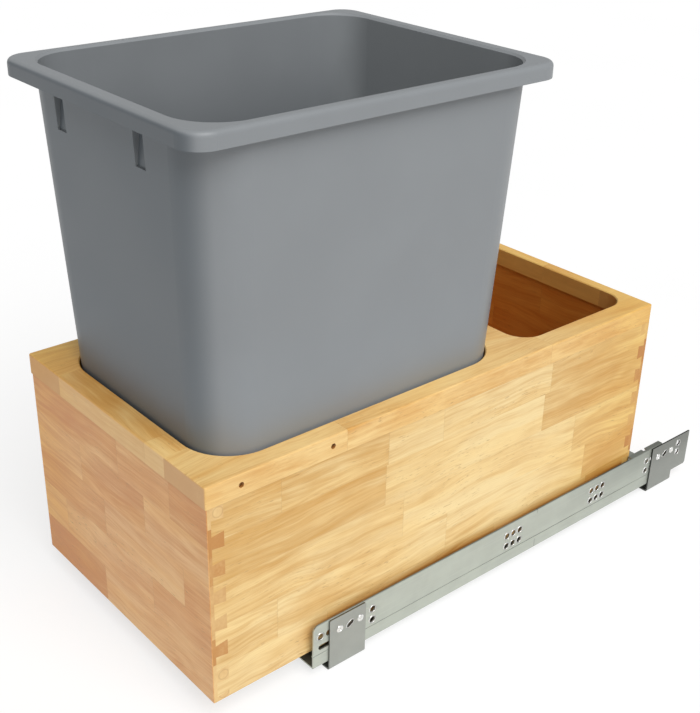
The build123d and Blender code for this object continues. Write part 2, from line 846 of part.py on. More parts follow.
def cut_bracket_holes(centre_y):
    """Screw holes and the slot between them in the upright, and two screw holes in the foot."""
    screw_y = centre_y + bracket_screw_offset
    with BuildSketch(Plane.YZ.offset(web_outer_x)) as upright_holes:
        for step in (-0.5, 0.5):
            with Locations((screw_y + step * bracket_screw_pitch, bracket_screw_height)):
                Circle(screw_hole / 2)
        with Locations((screw_y, bracket_screw_height)):
            SlotOverall(bracket_slot_length, bracket_slot_width, rotation=bracket_slot_angle)
    extrude(upright_holes.sketch, amount=bracket_sheet, mode=Mode.SUBTRACT)
    with BuildSketch(Plane.XY) as foot_holes:
        for step in (-0.5, 0.5):
            with Locations((bracket_outer_x - floor_hole_inset, centre_y + step * floor_hole_pitch)):
                Circle(floor_hole / 2)
    extrude(foot_holes.sketch, amount=bracket_sheet, mode=Mode.SUBTRACT)


def build_front_bracket():
    """Front bracket of one slide."""
    centre_y = -bracket_pitch / 2
    with BuildPart() as bracket:
        bracket_blank(centre_y)
        upper_corners = bracket.edges().filter_by(Axis.X).group_by(Axis.Z)[-1]
        fillet(upper_corners, bracket_corner / 2)
        foot_corners = bracket.edges().filter_by(Axis.Z).group_by(Axis.X)[0]
        fillet(foot_corners, bracket_corner)
        cut_bracket_holes(centre_y)
    keep_pair(bracket, "front_bracket")


def build_rear_bracket():
    """Rear bracket: the same blank, its upright drawn out behind into a tab with two holes."""
    centre_y = bracket_pitch / 2
    rear_edge_y = centre_y + bracket_length / 2
    with BuildPart() as bracket:
        bracket_blank(centre_y)
        foot_corners = bracket.edges().filter_by(Axis.Z).group_by(Axis.X)[0]
        fillet(foot_corners, bracket_corner)
        with BuildSketch(Plane.YZ.offset(web_outer_x)):
            with Locations((rear_edge_y + rear_tab_length / 2, (rear_tab_bottom + bracket_height) / 2)):
                Rectangle(rear_tab_length, bracket_height - rear_tab_bottom)
        extrude(amount=bracket_sheet)
        tab_corners = bracket.edges().filter_by(Axis.X).group_by(Axis.Y)[-1].sort_by(Axis.Z)
        fillet(tab_corners[0], rear_tab_corner)
        cut_bracket_holes(centre_y)
        with BuildSketch(Plane.YZ.offset(web_outer_x)):
            for step in (-0.5, 0.5):
                with Locations(
                    (rear_edge_y + rear_tab_hole_setback, rear_tab_hole_rise + step * rear_tab_hole_spacing)
                ):
                    Circle(rear_tab_hole / 2)
        extrude(amount=bracket_sheet, mode=Mode.SUBTRACT)
    keep_pair(bracket, "rear_bracket")


def build_bracket_screws():
    """The eight low-headed screws that join the brackets to the webs of the cabinet rails."""
    with BuildPart() as screws:
        for way in (1, -1):
            outer_face = Plane.YZ.offset(way * bracket_outer_x)
            with BuildSketch(outer_face):
                with Locations(*bracket_screw_places()):
                    Circle(screw_head / 2)
            extrude(amount=way * screw_head_height)
            with BuildSketch(outer_face):
                with Locations(*bracket_screw_places()):
                    Circle(screw_shank / 2)
            extrude(amount=-way * screw_length)
    keep(screws, "bracket_screws")


# ---------------------------------------------------------------- soft-close
def build_damper_housing():
    """Housing on the rail's base: an open channel for the catch, a bore for the cylinder."""
    channel_start_y = damper_y + damper_front_wall
    channel_length = damper_channel_end_y - channel_start_y
    inboard_x = damper_x - damper_width / 2
    channel_width = damper_width - 2 * damper_wall
    gate_width = striker_x + striker_reach + catch_gap - inboard_x
    gate_length = damper_channel_end_y - damper_y
    with BuildPart() as housing:
        with BuildSketch(Plane.XY.offset(base_top_z)):
            with Locations((damper_x, damper_y + damper_length / 2)):
                Rectangle(damper_width, damper_length)
        extrude(amount=damper_height)
        with BuildSketch(Plane.XY.offset(base_top_z + damper_floor)):
            with Locations((damper_x, channel_start_y + channel_length / 2)):
                Rectangle(channel_width, channel_length)
        extrude(amount=damper_height, mode=Mode.SUBTRACT)
        with BuildSketch(Plane.XY.offset(base_top_z + damper_sill)):
            with Locations((inboard_x + gate_width / 2, damper_y + gate_length / 2)):
                Rectangle(gate_width, gate_length)
        extrude(amount=damper_height, mode=Mode.SUBTRACT)
        with BuildSketch(across(damper_end_y - damper_end_wall)):
            with Locations((damper_x, cylinder_z)):
                Circle(cylinder_radius + cylinder_gap)
        extrude(amount=cylinder_length + catch_gap, mode=Mode.SUBTRACT)
    keep_pair(housing, "damper_housing")


def build_damper_cylinder():
    """Damper cylinder, bored for the piston rod."""
    with BuildPart() as cylinder:
        with BuildSketch(across(cylinder_y + cylinder_length)):
            with Locations((damper_x, cylinder_z)):
                Circle(cylinder_radius)
        extrude(amount=cylinder_length)
        with BuildSketch(across(cylinder_y + cylinder_bore_depth)):
            with Locations((damper_x, cylinder_z)):
                Circle(rod_radius + rod_gap)
        extrude(amount=cylinder_bore_depth, mode=Mode.SUBTRACT)
    keep_pair(cylinder, "damper_cylinder")


def build_piston_rod():
    """Piston rod, fixed in the back of the catch."""
    with BuildPart() as rod:
        with BuildSketch(across(catch_back_y + rod_length)):
            with Locations((damper_x, cylinder_z)):
                Circle(rod_radius)
        extrude(amount=rod_length)
    keep_pair(rod, "piston_rod")


def build_damper_catch():
    """Catch that the striker pushes back, drawn at the end of its stroke."""
    width = damper_width - 2 * damper_wall - 2 * catch_gap
    bottom_z = base_top_z + damper_floor + catch_gap
    with BuildPart() as catch:
        with BuildSketch(Plane.XY.offset(bottom_z)):
            with Locations((damper_x, (catch_front_y + catch_back_y) / 2)):
                Rectangle(width, catch_length)
        extrude(amount=catch_height)
        upright = catch.edges().filter_by(Axis.Z).group_by(Axis.Y)[0]
        fillet(upright, catch_corner)
    keep_pair(catch, "damper_catch")


# ---------------------------------------------------------------- locking clips
def clip_screw_places():
    """Places of the clip screws on the XZ plane, right and left."""
    inner_x = clip_x - clip_plate_width + clip_screw_inset
    outer_x = clip_x - clip_plate_width + clip_flange_width - clip_screw_inset
    height = box_bottom_z + clip_screw_rise
    return [(way * x, height) for way in (1, -1) for x in (inner_x, outer_x)]


def build_clip_body():
    """Clip body: plate under the bottom panel, flange on the front board, pivot pin."""
    plate_inner_x = clip_x - clip_plate_width
    pin_length = lever_gap + lever_sheet + lever_gap
    with BuildPart() as clip:
        with BuildSketch(Plane.XY.offset(clip_z)):
            with Locations((plate_inner_x + clip_plate_width / 2, front_inner_y + clip_length / 2)):
                Rectangle(clip_plate_width, clip_length)
        extrude(amount=clip_plate)
        rear_corners = clip.edges().filter_by(Axis.Z).group_by(Axis.Y)[-1]
        fillet(rear_corners, clip_corner)
        flange_x = plate_inner_x + clip_flange_width / 2
        with BuildSketch(across(front_inner_y + clip_flange)):
            with Locations((flange_x, panel_bottom_z - clip_flange_height / 2)):
                Rectangle(clip_flange_width, clip_flange_height)
        extrude(amount=clip_flange)
        with BuildSketch(across(front_inner_y + clip_flange)):
            with Locations(*clip_screw_places()[:2]):
                Circle(clip_screw_shank / 2)
        extrude(amount=clip_flange, mode=Mode.SUBTRACT)
        with BuildSketch(Plane.XY.offset(clip_z)):
            with Locations((lever_pin_x, lever_pin_y)):
                Circle(lever_pin_radius)
        extrude(amount=-pin_length)
        with BuildSketch(Plane.XY.offset(clip_z - pin_length)):
            with Locations((lever_pin_x, lever_pin_y)):
                Circle(lever_pin_head)
        extrude(amount=-lever_pin_head_height)
    keep_pair(clip, "clip_body")


def build_release_lever():
    """Release lever: hub on the pin, arm with the nose in the rail's slot, finger grip."""
    nose_y = lever_pin_y + lever_nose_place
    nose_front_y = nose_y - lever_nose_length / 2
    nose_back_y = nose_y + lever_nose_length / 2
    grip_x = lever_pin_x - lever_handle_reach
    with BuildPart() as lever:
        with BuildSketch(Plane.XY.offset(lever_bottom_z)):
            with Locations((lever_pin_x, lever_pin_y)):
                Circle(lever_hub)
            with Locations(((grip_x + lever_pin_x) / 2, lever_pin_y)):
                Rectangle(lever_handle_reach, lever_arm)
            with Locations((grip_x, lever_pin_y)):
                Circle(lever_pad_radius)
            with BuildLine():
                Polyline(
                    (lever_pin_x - lever_hub, lever_pin_y),
                    (lever_pin_x, nose_back_y),
                    (lever_nose_x, nose_back_y),
                    (lever_nose_x, nose_front_y),
                    (lever_pin_x + lever_arm, nose_front_y),
                    (lever_pin_x + lever_hub, lever_pin_y),
                    close=True,
                )
            make_face()
            with Locations((lever_pin_x, lever_pin_y)):
                Circle(lever_pin_radius + lever_pin_gap, mode=Mode.SUBTRACT)
        extrude(amount=lever_sheet)
        with BuildSketch(Plane.XY.offset(lever_bottom_z)):
            with Locations((grip_x, lever_pin_y)):
                Rectangle(2 * lever_pad_radius - lever_arm / 2, lever_grip)
        extrude(amount=-lever_handle_rise)
    keep_pair(lever, "release_lever")


def build_clip_screws():
    """The four screws that hold the two clips to the front board."""
    with BuildPart() as screws:
        with BuildSketch(across(front_inner_y + clip_flange)):
            with Locations(*clip_screw_places()):
                Circle(clip_screw_head / 2)
        extrude(amount=-clip_screw_head_height)
        with BuildSketch(across(front_inner_y + clip_flange)):
            with Locations(*clip_screw_places()):
                Circle(clip_screw_shank / 2)
        extrude(amount=clip_flange + clip_screw_depth)
    keep(screws, "clip_screws")


if __name__ == "__main__":
    build_side()
    build_front()
    build_back()
    build_bottom()
    build_top()
    build_bin()
    build_cabinet_rail()
    build_intermediate_rail()
    build_drawer_rail()
    build_carriages()
    build_front_bracket()
    build_rear_bracket()
    build_bracket_screws()
    build_damper_housing()
    build_damper_cylinder()
    build_piston_rod()
    build_damper_catch()
    build_clip_body()
    build_release_lever()
    build_clip_screws()
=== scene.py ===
import math

import bmesh
import bpy
from mathutils import Matrix, Vector


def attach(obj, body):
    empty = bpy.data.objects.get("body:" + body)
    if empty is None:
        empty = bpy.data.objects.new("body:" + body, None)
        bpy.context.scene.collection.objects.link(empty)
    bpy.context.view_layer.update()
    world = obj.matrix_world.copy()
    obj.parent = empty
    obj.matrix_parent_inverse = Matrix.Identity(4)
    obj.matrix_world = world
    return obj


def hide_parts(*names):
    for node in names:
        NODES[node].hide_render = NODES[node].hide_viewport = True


bl_info = {
    "name": "Pull-out Waste Unit Looks",
    "version": (1, 0, 0),
    "blender": (4, 5, 0),
    "location": "3D View > Sidebar > Waste Unit",
    "description": "Dresses the packed waste unit in wood, moulded plastic and plated steel",
    "category": "Object",
}

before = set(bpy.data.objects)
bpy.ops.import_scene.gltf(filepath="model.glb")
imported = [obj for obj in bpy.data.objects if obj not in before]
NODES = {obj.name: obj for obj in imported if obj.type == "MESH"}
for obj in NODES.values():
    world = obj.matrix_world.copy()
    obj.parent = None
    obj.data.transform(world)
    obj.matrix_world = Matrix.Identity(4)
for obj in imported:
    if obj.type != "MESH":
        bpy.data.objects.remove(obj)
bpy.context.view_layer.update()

MM = 0.001
PER_METRE = 1000.0

# How squarely a surface faces one way before it counts as facing that way.
SQUARE_ON = (0.75, 0.95)
TURNED_TO = (0.4, 0.9)
EDGE_ON = 0.5
# Where soft clouding begins and ends to show.
SOFT = (0.3, 0.7)


# ---------------------------------------------------------------- shader building
class Term:
    """A number on its way through a material. Arithmetic on it adds math nodes."""

    def __init__(self, recipe, socket):
        self.recipe = recipe
        self.socket = socket

    def __add__(self, other):
        return self.recipe.math("ADD", self, other)

    def __radd__(self, other):
        return self.recipe.math("ADD", other, self)

    def __sub__(self, other):
        return self.recipe.math("SUBTRACT", self, other)

    def __rsub__(self, other):
        return self.recipe.math("SUBTRACT", other, self)

    def __mul__(self, other):
        return self.recipe.math("MULTIPLY", self, other)

    def __rmul__(self, other):
        return self.recipe.math("MULTIPLY", other, self)

    def __pow__(self, other):
        return self.recipe.math("POWER", self, other)

    def __rpow__(self, other):
        return self.recipe.math("POWER", other, self)

    def __neg__(self):
        return self.recipe.math("MULTIPLY", self, -1.0)

    def __abs__(self):
        return self.recipe.math("ABSOLUTE", self)

    def sine(self):
        return self.recipe.math("SINE", self)

    def under(self, other):
        return self.recipe.math("LESS_THAN", self, other)

    def most(self, other):
        return self.recipe.math("MAXIMUM", self, other)

    def ramp(self, low, high, start=0.0, end=1.0):
        """Smooth step: start below low, end above high."""
        node = self.recipe.node(
            "ShaderNodeMapRange",
            {"interpolation_type": "SMOOTHSTEP"},
            {"Value": self, "From Min": low, "From Max": high, "To Min": start, "To Max": end},
        )
        return Term(self.recipe, node.outputs["Result"])

    def fall(self, low, high):
        """Smooth step from one below low to nothing above high."""
        return self.ramp(low, high, 1.0, 0.0)


class Recipe:
    """The nodes of one material or world."""

    # Sockets of the colour mixing node, which go by number.
    FACTOR, FIRST, SECOND, MIXED = 0, 6, 7, 2

    def __init__(self, tree):
        self.tree = tree
        self.tree.nodes.clear()

    def put(self, socket, value):
        """Link a term or a socket to an input, or set the input's own value."""
        if isinstance(value, Term):
            value = value.socket
        if isinstance(value, bpy.types.NodeSocket):
            self.tree.links.new(value, socket)
        elif hasattr(socket.default_value, "__len__") and len(socket.default_value) == 4:
            socket.default_value = (*value[:3], 1.0)
        else:
            socket.default_value = value

    def node(self, kind, settings=None, inputs=None):
        """Add a node: its settings first, then its values and links by name or number."""
        made = self.tree.nodes.new(kind)
        for name, value in (settings or {}).items():
            setattr(made, name, value)
        for name, value in (inputs or {}).items():
            self.put(made.inputs[name], value)
        return made

    def math(self, operation, *values):
        made = self.node("ShaderNodeMath", {"operation": operation}, dict(enumerate(values)))
        return Term(self, made.outputs[0])

    def mix(self, factor, first, second, blend="MIX"):
        """Blend two colours."""
        settings = {"data_type": "RGBA", "blend_type": blend, "clamp_factor": True}
        inputs = {self.FACTOR: factor, self.FIRST: first, self.SECOND: second}
        return self.node("ShaderNodeMix", settings, inputs).outputs[self.MIXED]

    def stain_and_shade(self, depth, base, tone):
        """Multiply a colour by a tone, for stains and for painted light and shade."""
        return self.mix(depth, base, tone, "MULTIPLY")

    def vector(self, x, y, z):
        made = self.node("ShaderNodeCombineXYZ", None, {"X": x, "Y": y, "Z": z})
        return made.outputs["Vector"]

    def split(self, output):
        """The three parts of the texture coordinates that go by that name."""
        source = self.node("ShaderNodeTexCoord").outputs[output]
        parts = self.node("ShaderNodeSeparateXYZ", None, {"Vector": source})
        return [Term(self, parts.outputs[name]) for name in "XYZ"]

    def place(self):
        """X, Y and Z in metres in the part's own frame."""
        return self.split("Object")

    def facing(self):
        """How squarely the surface faces along +X, +Y and +Z, from -1 to 1."""
        return self.split("Normal")

    def fixed(self, value):
        """A term to start a sum with."""
        made = self.node("ShaderNodeValue")
        made.outputs[0].default_value = value
        return Term(self, made.outputs[0])

    def noise(self, at, scale, detail, roughness):
        values = {"Vector": at, "Scale": scale, "Detail": detail, "Roughness": roughness}
        return Term(self, self.node("ShaderNodeTexNoise", None, values).outputs[0])

    def chance(self, at):
        """A random number from 0 to 1 for each place."""
        made = self.node("ShaderNodeTexWhiteNoise", None, {"Vector": at})
        return Term(self, made.outputs["Value"])

    def bump(self, height, distance, strength=1.0):
        values = {"Height": height, "Distance": distance, "Strength": strength}
        return self.node("ShaderNodeBump", None, values).outputs["Normal"]

    def finish(self, base, roughness, normal, **fixed):
        """Add the surface shader and the output. fixed are values for the shader's own sockets."""
        inputs = {"Base Color": base, "Roughness": roughness, "Normal": normal}
        inputs.update({name.replace("_", " "): value for name, value in fixed.items()})
        shader = self.node("ShaderNodeBsdfPrincipled", None, inputs)
        self.node("ShaderNodeOutputMaterial", None, {"Surface": shader.outputs["BSDF"]})


def new_recipe(name):
    material = bpy.data.materials.new(name)
    material.use_nodes = True
    return material, Recipe(material.node_tree)


def dress(material, *names):
    """Give CAD nodes a material."""
    for name in names:
        slots = NODES[name].data.materials
        slots.clear()
        slots.append(material)


def both(*names):
    """Names of the right and the left node of each kind."""
    return [f"{name}_{side}" for name in names for side in ("right", "left")]


def band(place, low, high):
    """One between two places, nothing outside them."""
    return place.under(high) - place.under(low)


# ---------------------------------------------------------------- wood
# Staves of each board, from its lower or left edge up: where a stave ends, then its pieces as
# (start, shade), all in millimetres from the board's own corner. Shade 0 is pale, 1 is deep brown.
SIDE_STAVES = (
    (35.0, ((0.0, 0.25), (118.0, 0.35), (330.0, 0.2), (470.0, 0.45))),
    (77.0, ((0.0, 0.2), (63.0, 0.32), (262.0, 0.1), (462.0, 0.9))),
    (120.0, ((0.0, 0.25), (205.0, 0.05), (440.0, 0.35))),
    (161.0, ((0.0, 0.85), (182.0, 0.1), (388.0, 0.7))),
    (194.0, ((0.0, 0.75), (68.0, 0.6), (184.0, 0.15), (250.0, 0.1), (395.0, 0.65))),
)
FRONT_STAVES = (
    (39.0, ((0.0, 0.95), (111.0, 0.4))),
    (78.0, ((0.0, 0.15), (44.0, 0.4), (196.0, 0.55))),
    (117.0, ((0.0, 0.6), (120.0, 0.3), (247.0, 0.7))),
    (157.0, ((0.0, 0.4), (82.0, 0.65), (190.0, 0.35))),
    (194.0, ((0.0, 0.7), (150.0, 0.5), (231.0, 0.75))),
)
TOP_STAVES = (
    (60.0, ((0.0, 0.75), (200.0, 0.4))),
    (349.0, ((0.0, 0.5), (190.0, 0.3))),
    (392.0, ((0.0, 0.35), (120.0, 0.55))),
    (549.0, ((0.0, 0.2), (150.0, 0.35))),
)
TOP_SIDE_STAVES = (
    (58.0, ((0.0, 0.35), (215.0, 0.2), (420.0, 0.4))),
    (228.0, ((0.0, 0.3), (300.0, 0.2))),
    (287.0, ((0.0, 0.25), (141.0, 0.45), (395.0, 0.3))),
)

# Glue lines: half their width in millimetres, and how strong a long one is beside an end joint.
END_JOINT = 0.22
LONG_JOINT = 0.16
LONG_JOINT_DEPTH = 0.6

# Every piece has a number, from which its noise starts elsewhere.
STAVE_NUMBER = 7.3
PIECE_NUMBER = 1.9
PIECE_SHIFT = 5.1
LUCK_PLACE = 2.7
FIGURE_SHIFT = 9.0
WARM_SHIFT = 1.7
WARM_PLACE = 3.0

# Noise of the grain: turns per millimetre along and across it, its detail and its roughness.
WANDER = (0.004, 0.011, 1.0, 0.5)
SWIRL = (0.012, 0.022, 2.0, 0.5)
RINGS = (0.0042, 0.028, 1.0, 0.5)
FIGURE = (0.005, 0.02, 1.0, 0.5)
BROAD = (0.005, 0.085, 3.0, 0.55)
FINE = (0.013, 0.40, 4.0, 0.62)
FIBRE = (0.05, 1.5, 3.0, 0.6)
CLOUD = (0.011, 0.024, 3.0, 0.55)
WARM = (0.007, 0.035, 2.0, 0.5)
PORE = (0.11, 0.8, 2.0, 0.5)
PORE_ZONE = (0.009, 0.035, 2.0, 0.5)

# How far the grain wanders off the straight, in millimetres.
WANDER_REACH = 34.0
# Growth rings: radians of their waves over their noise's whole range, and per millimetre across.
RING_WAVES = 64.0
RING_SLANT = 0.2

# Between which two values each noise begins and ends to show.
FIGURE_EDGE = (0.42, 0.60)
PORE_EDGE = (0.62, 0.71)
PORE_ZONE_EDGE = (0.45, 0.64)
WARM_EDGE = (0.42, 0.62)
FIBRE_EDGE = (0.42, 0.74)
TONE_EDGE = (-0.15, 1.1)
END_EDGE = (-0.1, 1.1)

# How much each layer counts in the tone, in the colour and in the height of the grain.
SHADE_SHARE = 0.66
LUCK_SHARE = 0.12
FINE_SHARE = 1.1
TONE_START = 0.16
WARM_DEPTH = 0.6
WARM_STAIN = (1.0, 0.93, 0.78)
FIBRE_DEPTH = 0.14
GLUE_DEPTH = 0.22
FINE_HEIGHT = 0.3
FIBRE_HEIGHT = 0.2
PORE_HEIGHT = 0.8
GLUE_HEIGHT = 0.5

# Depth of tone of a board's cut ends, pin by pin from the lowest up. The top board's is even.
PIN_TONES = (0.3, 0.25, 0.9, 0.5, 0.55, 0.8, 1.05, 0.35)
TOP_END_TONES = (0.9,)
# Speckle and rays of cut ends: turns per millimetre, then detail and roughness.
SPECKLE_SCALE = 0.35
SPECKLE = (4.0, 0.6)
SPECKLE_SHARE = 0.4
RAY_SCALE = (0.05, 0.11, 0.05)
RAYS = (2.0, 0.5)
RAY_SHARE = 0.6

# Rings on the pins at the front corners: their heights, how far back they are, their radius, and
# how far off that radius they are full and gone.
PIN_RINGS = (0.031, 0.051, 0.213)
PIN_RING_PLACE = -0.3597
PIN_RING_RADIUS = 0.0047
PIN_RING_EDGE = (0.0002, 0.0009)
PIN_RING_DEPTH = 0.22

# Side planks of the top board: what is added to their seed, and their joint's width.
SIDE_PLANK_SEED = 3.1
SIDE_PLANK_JOINT = 0.0004
# Pilot holes in the top board's ends: how far out, from where back, and their heights.
PILOT_OUT = 0.1395
PILOT_FRONT = -0.366
PILOT_HEIGHTS = (0.2225, 0.2365)
# Painted shade in the pilot holes.
PILOT_SHADE = 0.85
# The part of the top board within which its two cut-outs lie: half its width, and its two ends.
CUT_OUT_HALF = 0.137
CUT_OUT_ENDS = (-0.362, 0.170)
# Painted shade on the cut-out walls, and painted light on forward-facing edges.
CUT_OUT_SHADE = 0.8
FRONT_EDGE_LIGHT = 0.4

# Where the wood begins to turn deeper and warmer and is at its deepest, towards the back and the
# left.
WARMER_BACK = (0.0, 0.178)
WARMER_LEFT = (0.02, 0.14)
# Painted shade above the rail, where its contact shadow falls: where it begins below the rail's
# edge and behind the bracket, how high the soft band and the dark line reach, and how strong both
# are.
RAIL_SHADE_START = (0.020, 0.008)
RAIL_SHADE_BEHIND = (-0.300, -0.240)
RAIL_SHADE_BAND = 0.013
RAIL_SHADE_LINE = 0.0028
RAIL_SHADE_BAND_DEPTH = 0.65
RAIL_SHADE_LINE_DEPTH = 0.5

# Softness of the border of the painted shade inside the box, in metres.
SHADE_BORDER = 0.0006
# The lacquer: how far its roughness goes over and under the wood's own, and its clear coat.
GLOSS_OVER = 0.06
GLOSS_UNDER = 0.04
LACQUER_COAT = 0.2
LACQUER_ROUGHNESS = 0.25


def stave_plan(recipe, along, across, staves):
    """Shade, number and glue lines of the pieces that a board is glued up from."""
    shade = number = glue = recipe.fixed(0.0)
    lower = 0.0
    for place, (edge, pieces) in enumerate(staves):
        below = across.under(edge)
        inside = below - lower
        lower = below
        tone = recipe.fixed(pieces[0][1])
        count = recipe.fixed(place * STAVE_NUMBER)
        for (start, piece), (_, before) in zip(pieces[1:], pieces):
            beyond = 1.0 - along.under(start)
            tone = tone + beyond * (piece - before)
            count = count + beyond * PIECE_NUMBER
            glue = glue.most(inside * abs(along - start).under(END_JOINT))
        shade = shade + inside * tone
        number = number + inside * count
        glue = glue.most(abs(across - edge).under(LONG_JOINT) * LONG_JOINT_DEPTH)
    return shade, number, glue


def grain(recipe, kind, along, shift, across, depth, further=None):
    """One noise of the grain. A depth that is a plain number keeps it flat."""
    lengthwise, sideways, detail, roughness = kind
    start = along * lengthwise + shift
    if further:
        start = start + further
    if isinstance(depth, Term):
        depth = depth * sideways
    at = recipe.vector(start, across * sideways, depth)
    return recipe.noise(at, 1.0, detail, roughness)


def wood_tone(recipe, along, across, depth, look, seed, staves, pale, deep):
    """Colour, height and clouding of glued-up rubberwood. The three places are in millimetres."""
    shade, number, glue = stave_plan(recipe, along, across, staves)
    luck = recipe.chance(recipe.vector(number, seed, LUCK_PLACE))
    shift = number * PIECE_SHIFT + seed

    # The grain wanders off the straight, most of all where a swirl runs through.
    wander = grain(recipe, WANDER, along, shift, across, seed)
    swirl = grain(recipe, SWIRL, along, shift, across, depth)
    lean = across + (wander - 0.5) * WANDER_REACH + (swirl - 0.5) * look.swirl
    # Growth rings cut at a slant leave long arcs in the figured pieces.
    rings = grain(recipe, RINGS, along, shift, lean, depth)
    figure = grain(recipe, FIGURE, along, shift, across, seed, FIGURE_SHIFT)
    arcs = (rings * RING_WAVES + lean * RING_SLANT).sine() * figure.ramp(*FIGURE_EDGE)
    broad = grain(recipe, BROAD, along, shift, lean, depth)
    fine = grain(recipe, FINE, along, shift, lean, depth)
    fibre = grain(recipe, FIBRE, along, shift, lean, depth)
    cloud = grain(recipe, CLOUD, along, shift, across, depth)
    warm = grain(recipe, WARM, along, shift * WARM_SHIFT, lean, seed + WARM_PLACE)
    pore_zone = grain(recipe, PORE_ZONE, along, shift, lean, depth)
    pores = grain(recipe, PORE, along, shift, lean, depth).ramp(*PORE_EDGE)
    pores = pores * pore_zone.ramp(*PORE_ZONE_EDGE)

    streak = (broad - 0.5) * look.streak + (fine - 0.5) * look.streak * FINE_SHARE
    streak = streak + arcs * look.arcs
    tone = shade * SHADE_SHARE + (luck - 0.5) * LUCK_SHARE + streak
    tone = tone + (cloud - 0.5) * look.cloud + TONE_START
    base = recipe.mix(tone.ramp(*TONE_EDGE), pale, deep)
    base = recipe.stain_and_shade(warm.ramp(*WARM_EDGE) * WARM_DEPTH, base, WARM_STAIN)
    base = recipe.stain_and_shade(fibre.ramp(*FIBRE_EDGE) * FIBRE_DEPTH, base, look.pore_and_shade_tone)
    base = recipe.mix(pores * look.pore_depth, base, look.pore_and_shade_tone)
    base = recipe.mix(glue * GLUE_DEPTH, base, look.pore_and_shade_tone)
    height = fine * FINE_HEIGHT + fibre * FIBRE_HEIGHT - pores * PORE_HEIGHT - glue * GLUE_HEIGHT
    return base, height, cloud


def cut_end(recipe, x, y, z, look, pins):
    """Cut ends drink more oil: each pin has its own depth of tone, finely speckled."""
    at = recipe.vector(x * SPECKLE_SCALE, y * SPECKLE_SCALE, z * SPECKLE_SCALE)
    speckle = recipe.noise(at, 1.0, *SPECKLE)
    at = recipe.vector(*(part * scale for part, scale in zip((x, y, z), RAY_SCALE)))
    rays = recipe.noise(at, 1.0, *RAYS)
    tone = recipe.fixed(pins[0])
    for count, (pin, before) in enumerate(zip(pins[1:], pins)):
        above = 1.0 - z.under(look.first_pin + count * look.pin_pitch)
        tone = tone + above * (pin - before)
    tone = tone + (speckle - 0.5) * SPECKLE_SHARE + (rays - 0.5) * RAY_SHARE
    return recipe.mix(tone.ramp(*END_EDGE), look.end_pale, look.end_deep)


def board_corner(name):
    """Lowest corner of a CAD node in its own frame."""
    corners = NODES[name].bound_box
    return [min(corner[axis] for corner in corners) for axis in range(3)]


def paint_top_light_and_shade(recipe, base, place, normal, look):
    """Painted shade in the pilot holes and cut-out walls; painted light on the forward edges."""
    x, y, z = place
    # Painted shade in the pilot holes.
    pilot = abs(normal[0]).under(EDGE_ON) * (1.0 - abs(x).under(PILOT_OUT))
    pilot = pilot * (1.0 - y.under(PILOT_FRONT)) * band(z, *PILOT_HEIGHTS)
    base = recipe.stain_and_shade(pilot * PILOT_SHADE, base, look.pore_and_shade_tone)
    front, back = CUT_OUT_ENDS
    # Painted shade on the walls of the cut-outs.
    wall = abs(normal[2]).under(EDGE_ON) * abs(x).under(CUT_OUT_HALF)
    wall = wall * y.under(back) * (1.0 - y.under(front))
    base = recipe.stain_and_shade(wall * CUT_OUT_SHADE, base, look.inner_shade_tone)
    # Painted light: forward-facing edges are lifted towards the front board's pale tone.
    forward = (-normal[1]).ramp(*SQUARE_ON)
    return recipe.mix(forward * FRONT_EDGE_LIGHT, base, look.front_pale_and_lit_edge)


def mark_pins(recipe, base, place, normal, look):
    """Faint rings on the pins at the front corners."""
    _, y, z = place
    sideways = abs(normal[0]).ramp(*SQUARE_ON)
    for height in PIN_RINGS:
        from_centre = ((y - PIN_RING_PLACE) ** 2.0 + (z - height) ** 2.0) ** 0.5
        ring = abs(from_centre - PIN_RING_RADIUS).fall(*PIN_RING_EDGE) * sideways
        base = recipe.stain_and_shade(ring * PIN_RING_DEPTH, base, look.pore_and_shade_tone)
    return base


def paint_rail_shade(recipe, base, place, look):
    """Painted shade in the corner above the rail, where the rail's contact shadow falls."""
    _, y, z = place
    low, high = (look.rail_line - below for below in RAIL_SHADE_START)
    behind = z.ramp(low, high) * y.ramp(*RAIL_SHADE_BEHIND)
    near = z.fall(look.rail_line, look.rail_line + RAIL_SHADE_BAND) * behind
    line = z.fall(look.rail_line, look.rail_line + RAIL_SHADE_LINE) * behind
    # Painted shade: a soft band and a dark line right above the rail.
    base = recipe.stain_and_shade(near * RAIL_SHADE_BAND_DEPTH, base, look.rail_shade_tone)
    return recipe.stain_and_shade(line * RAIL_SHADE_LINE_DEPTH, base, look.pore_and_shade_tone)


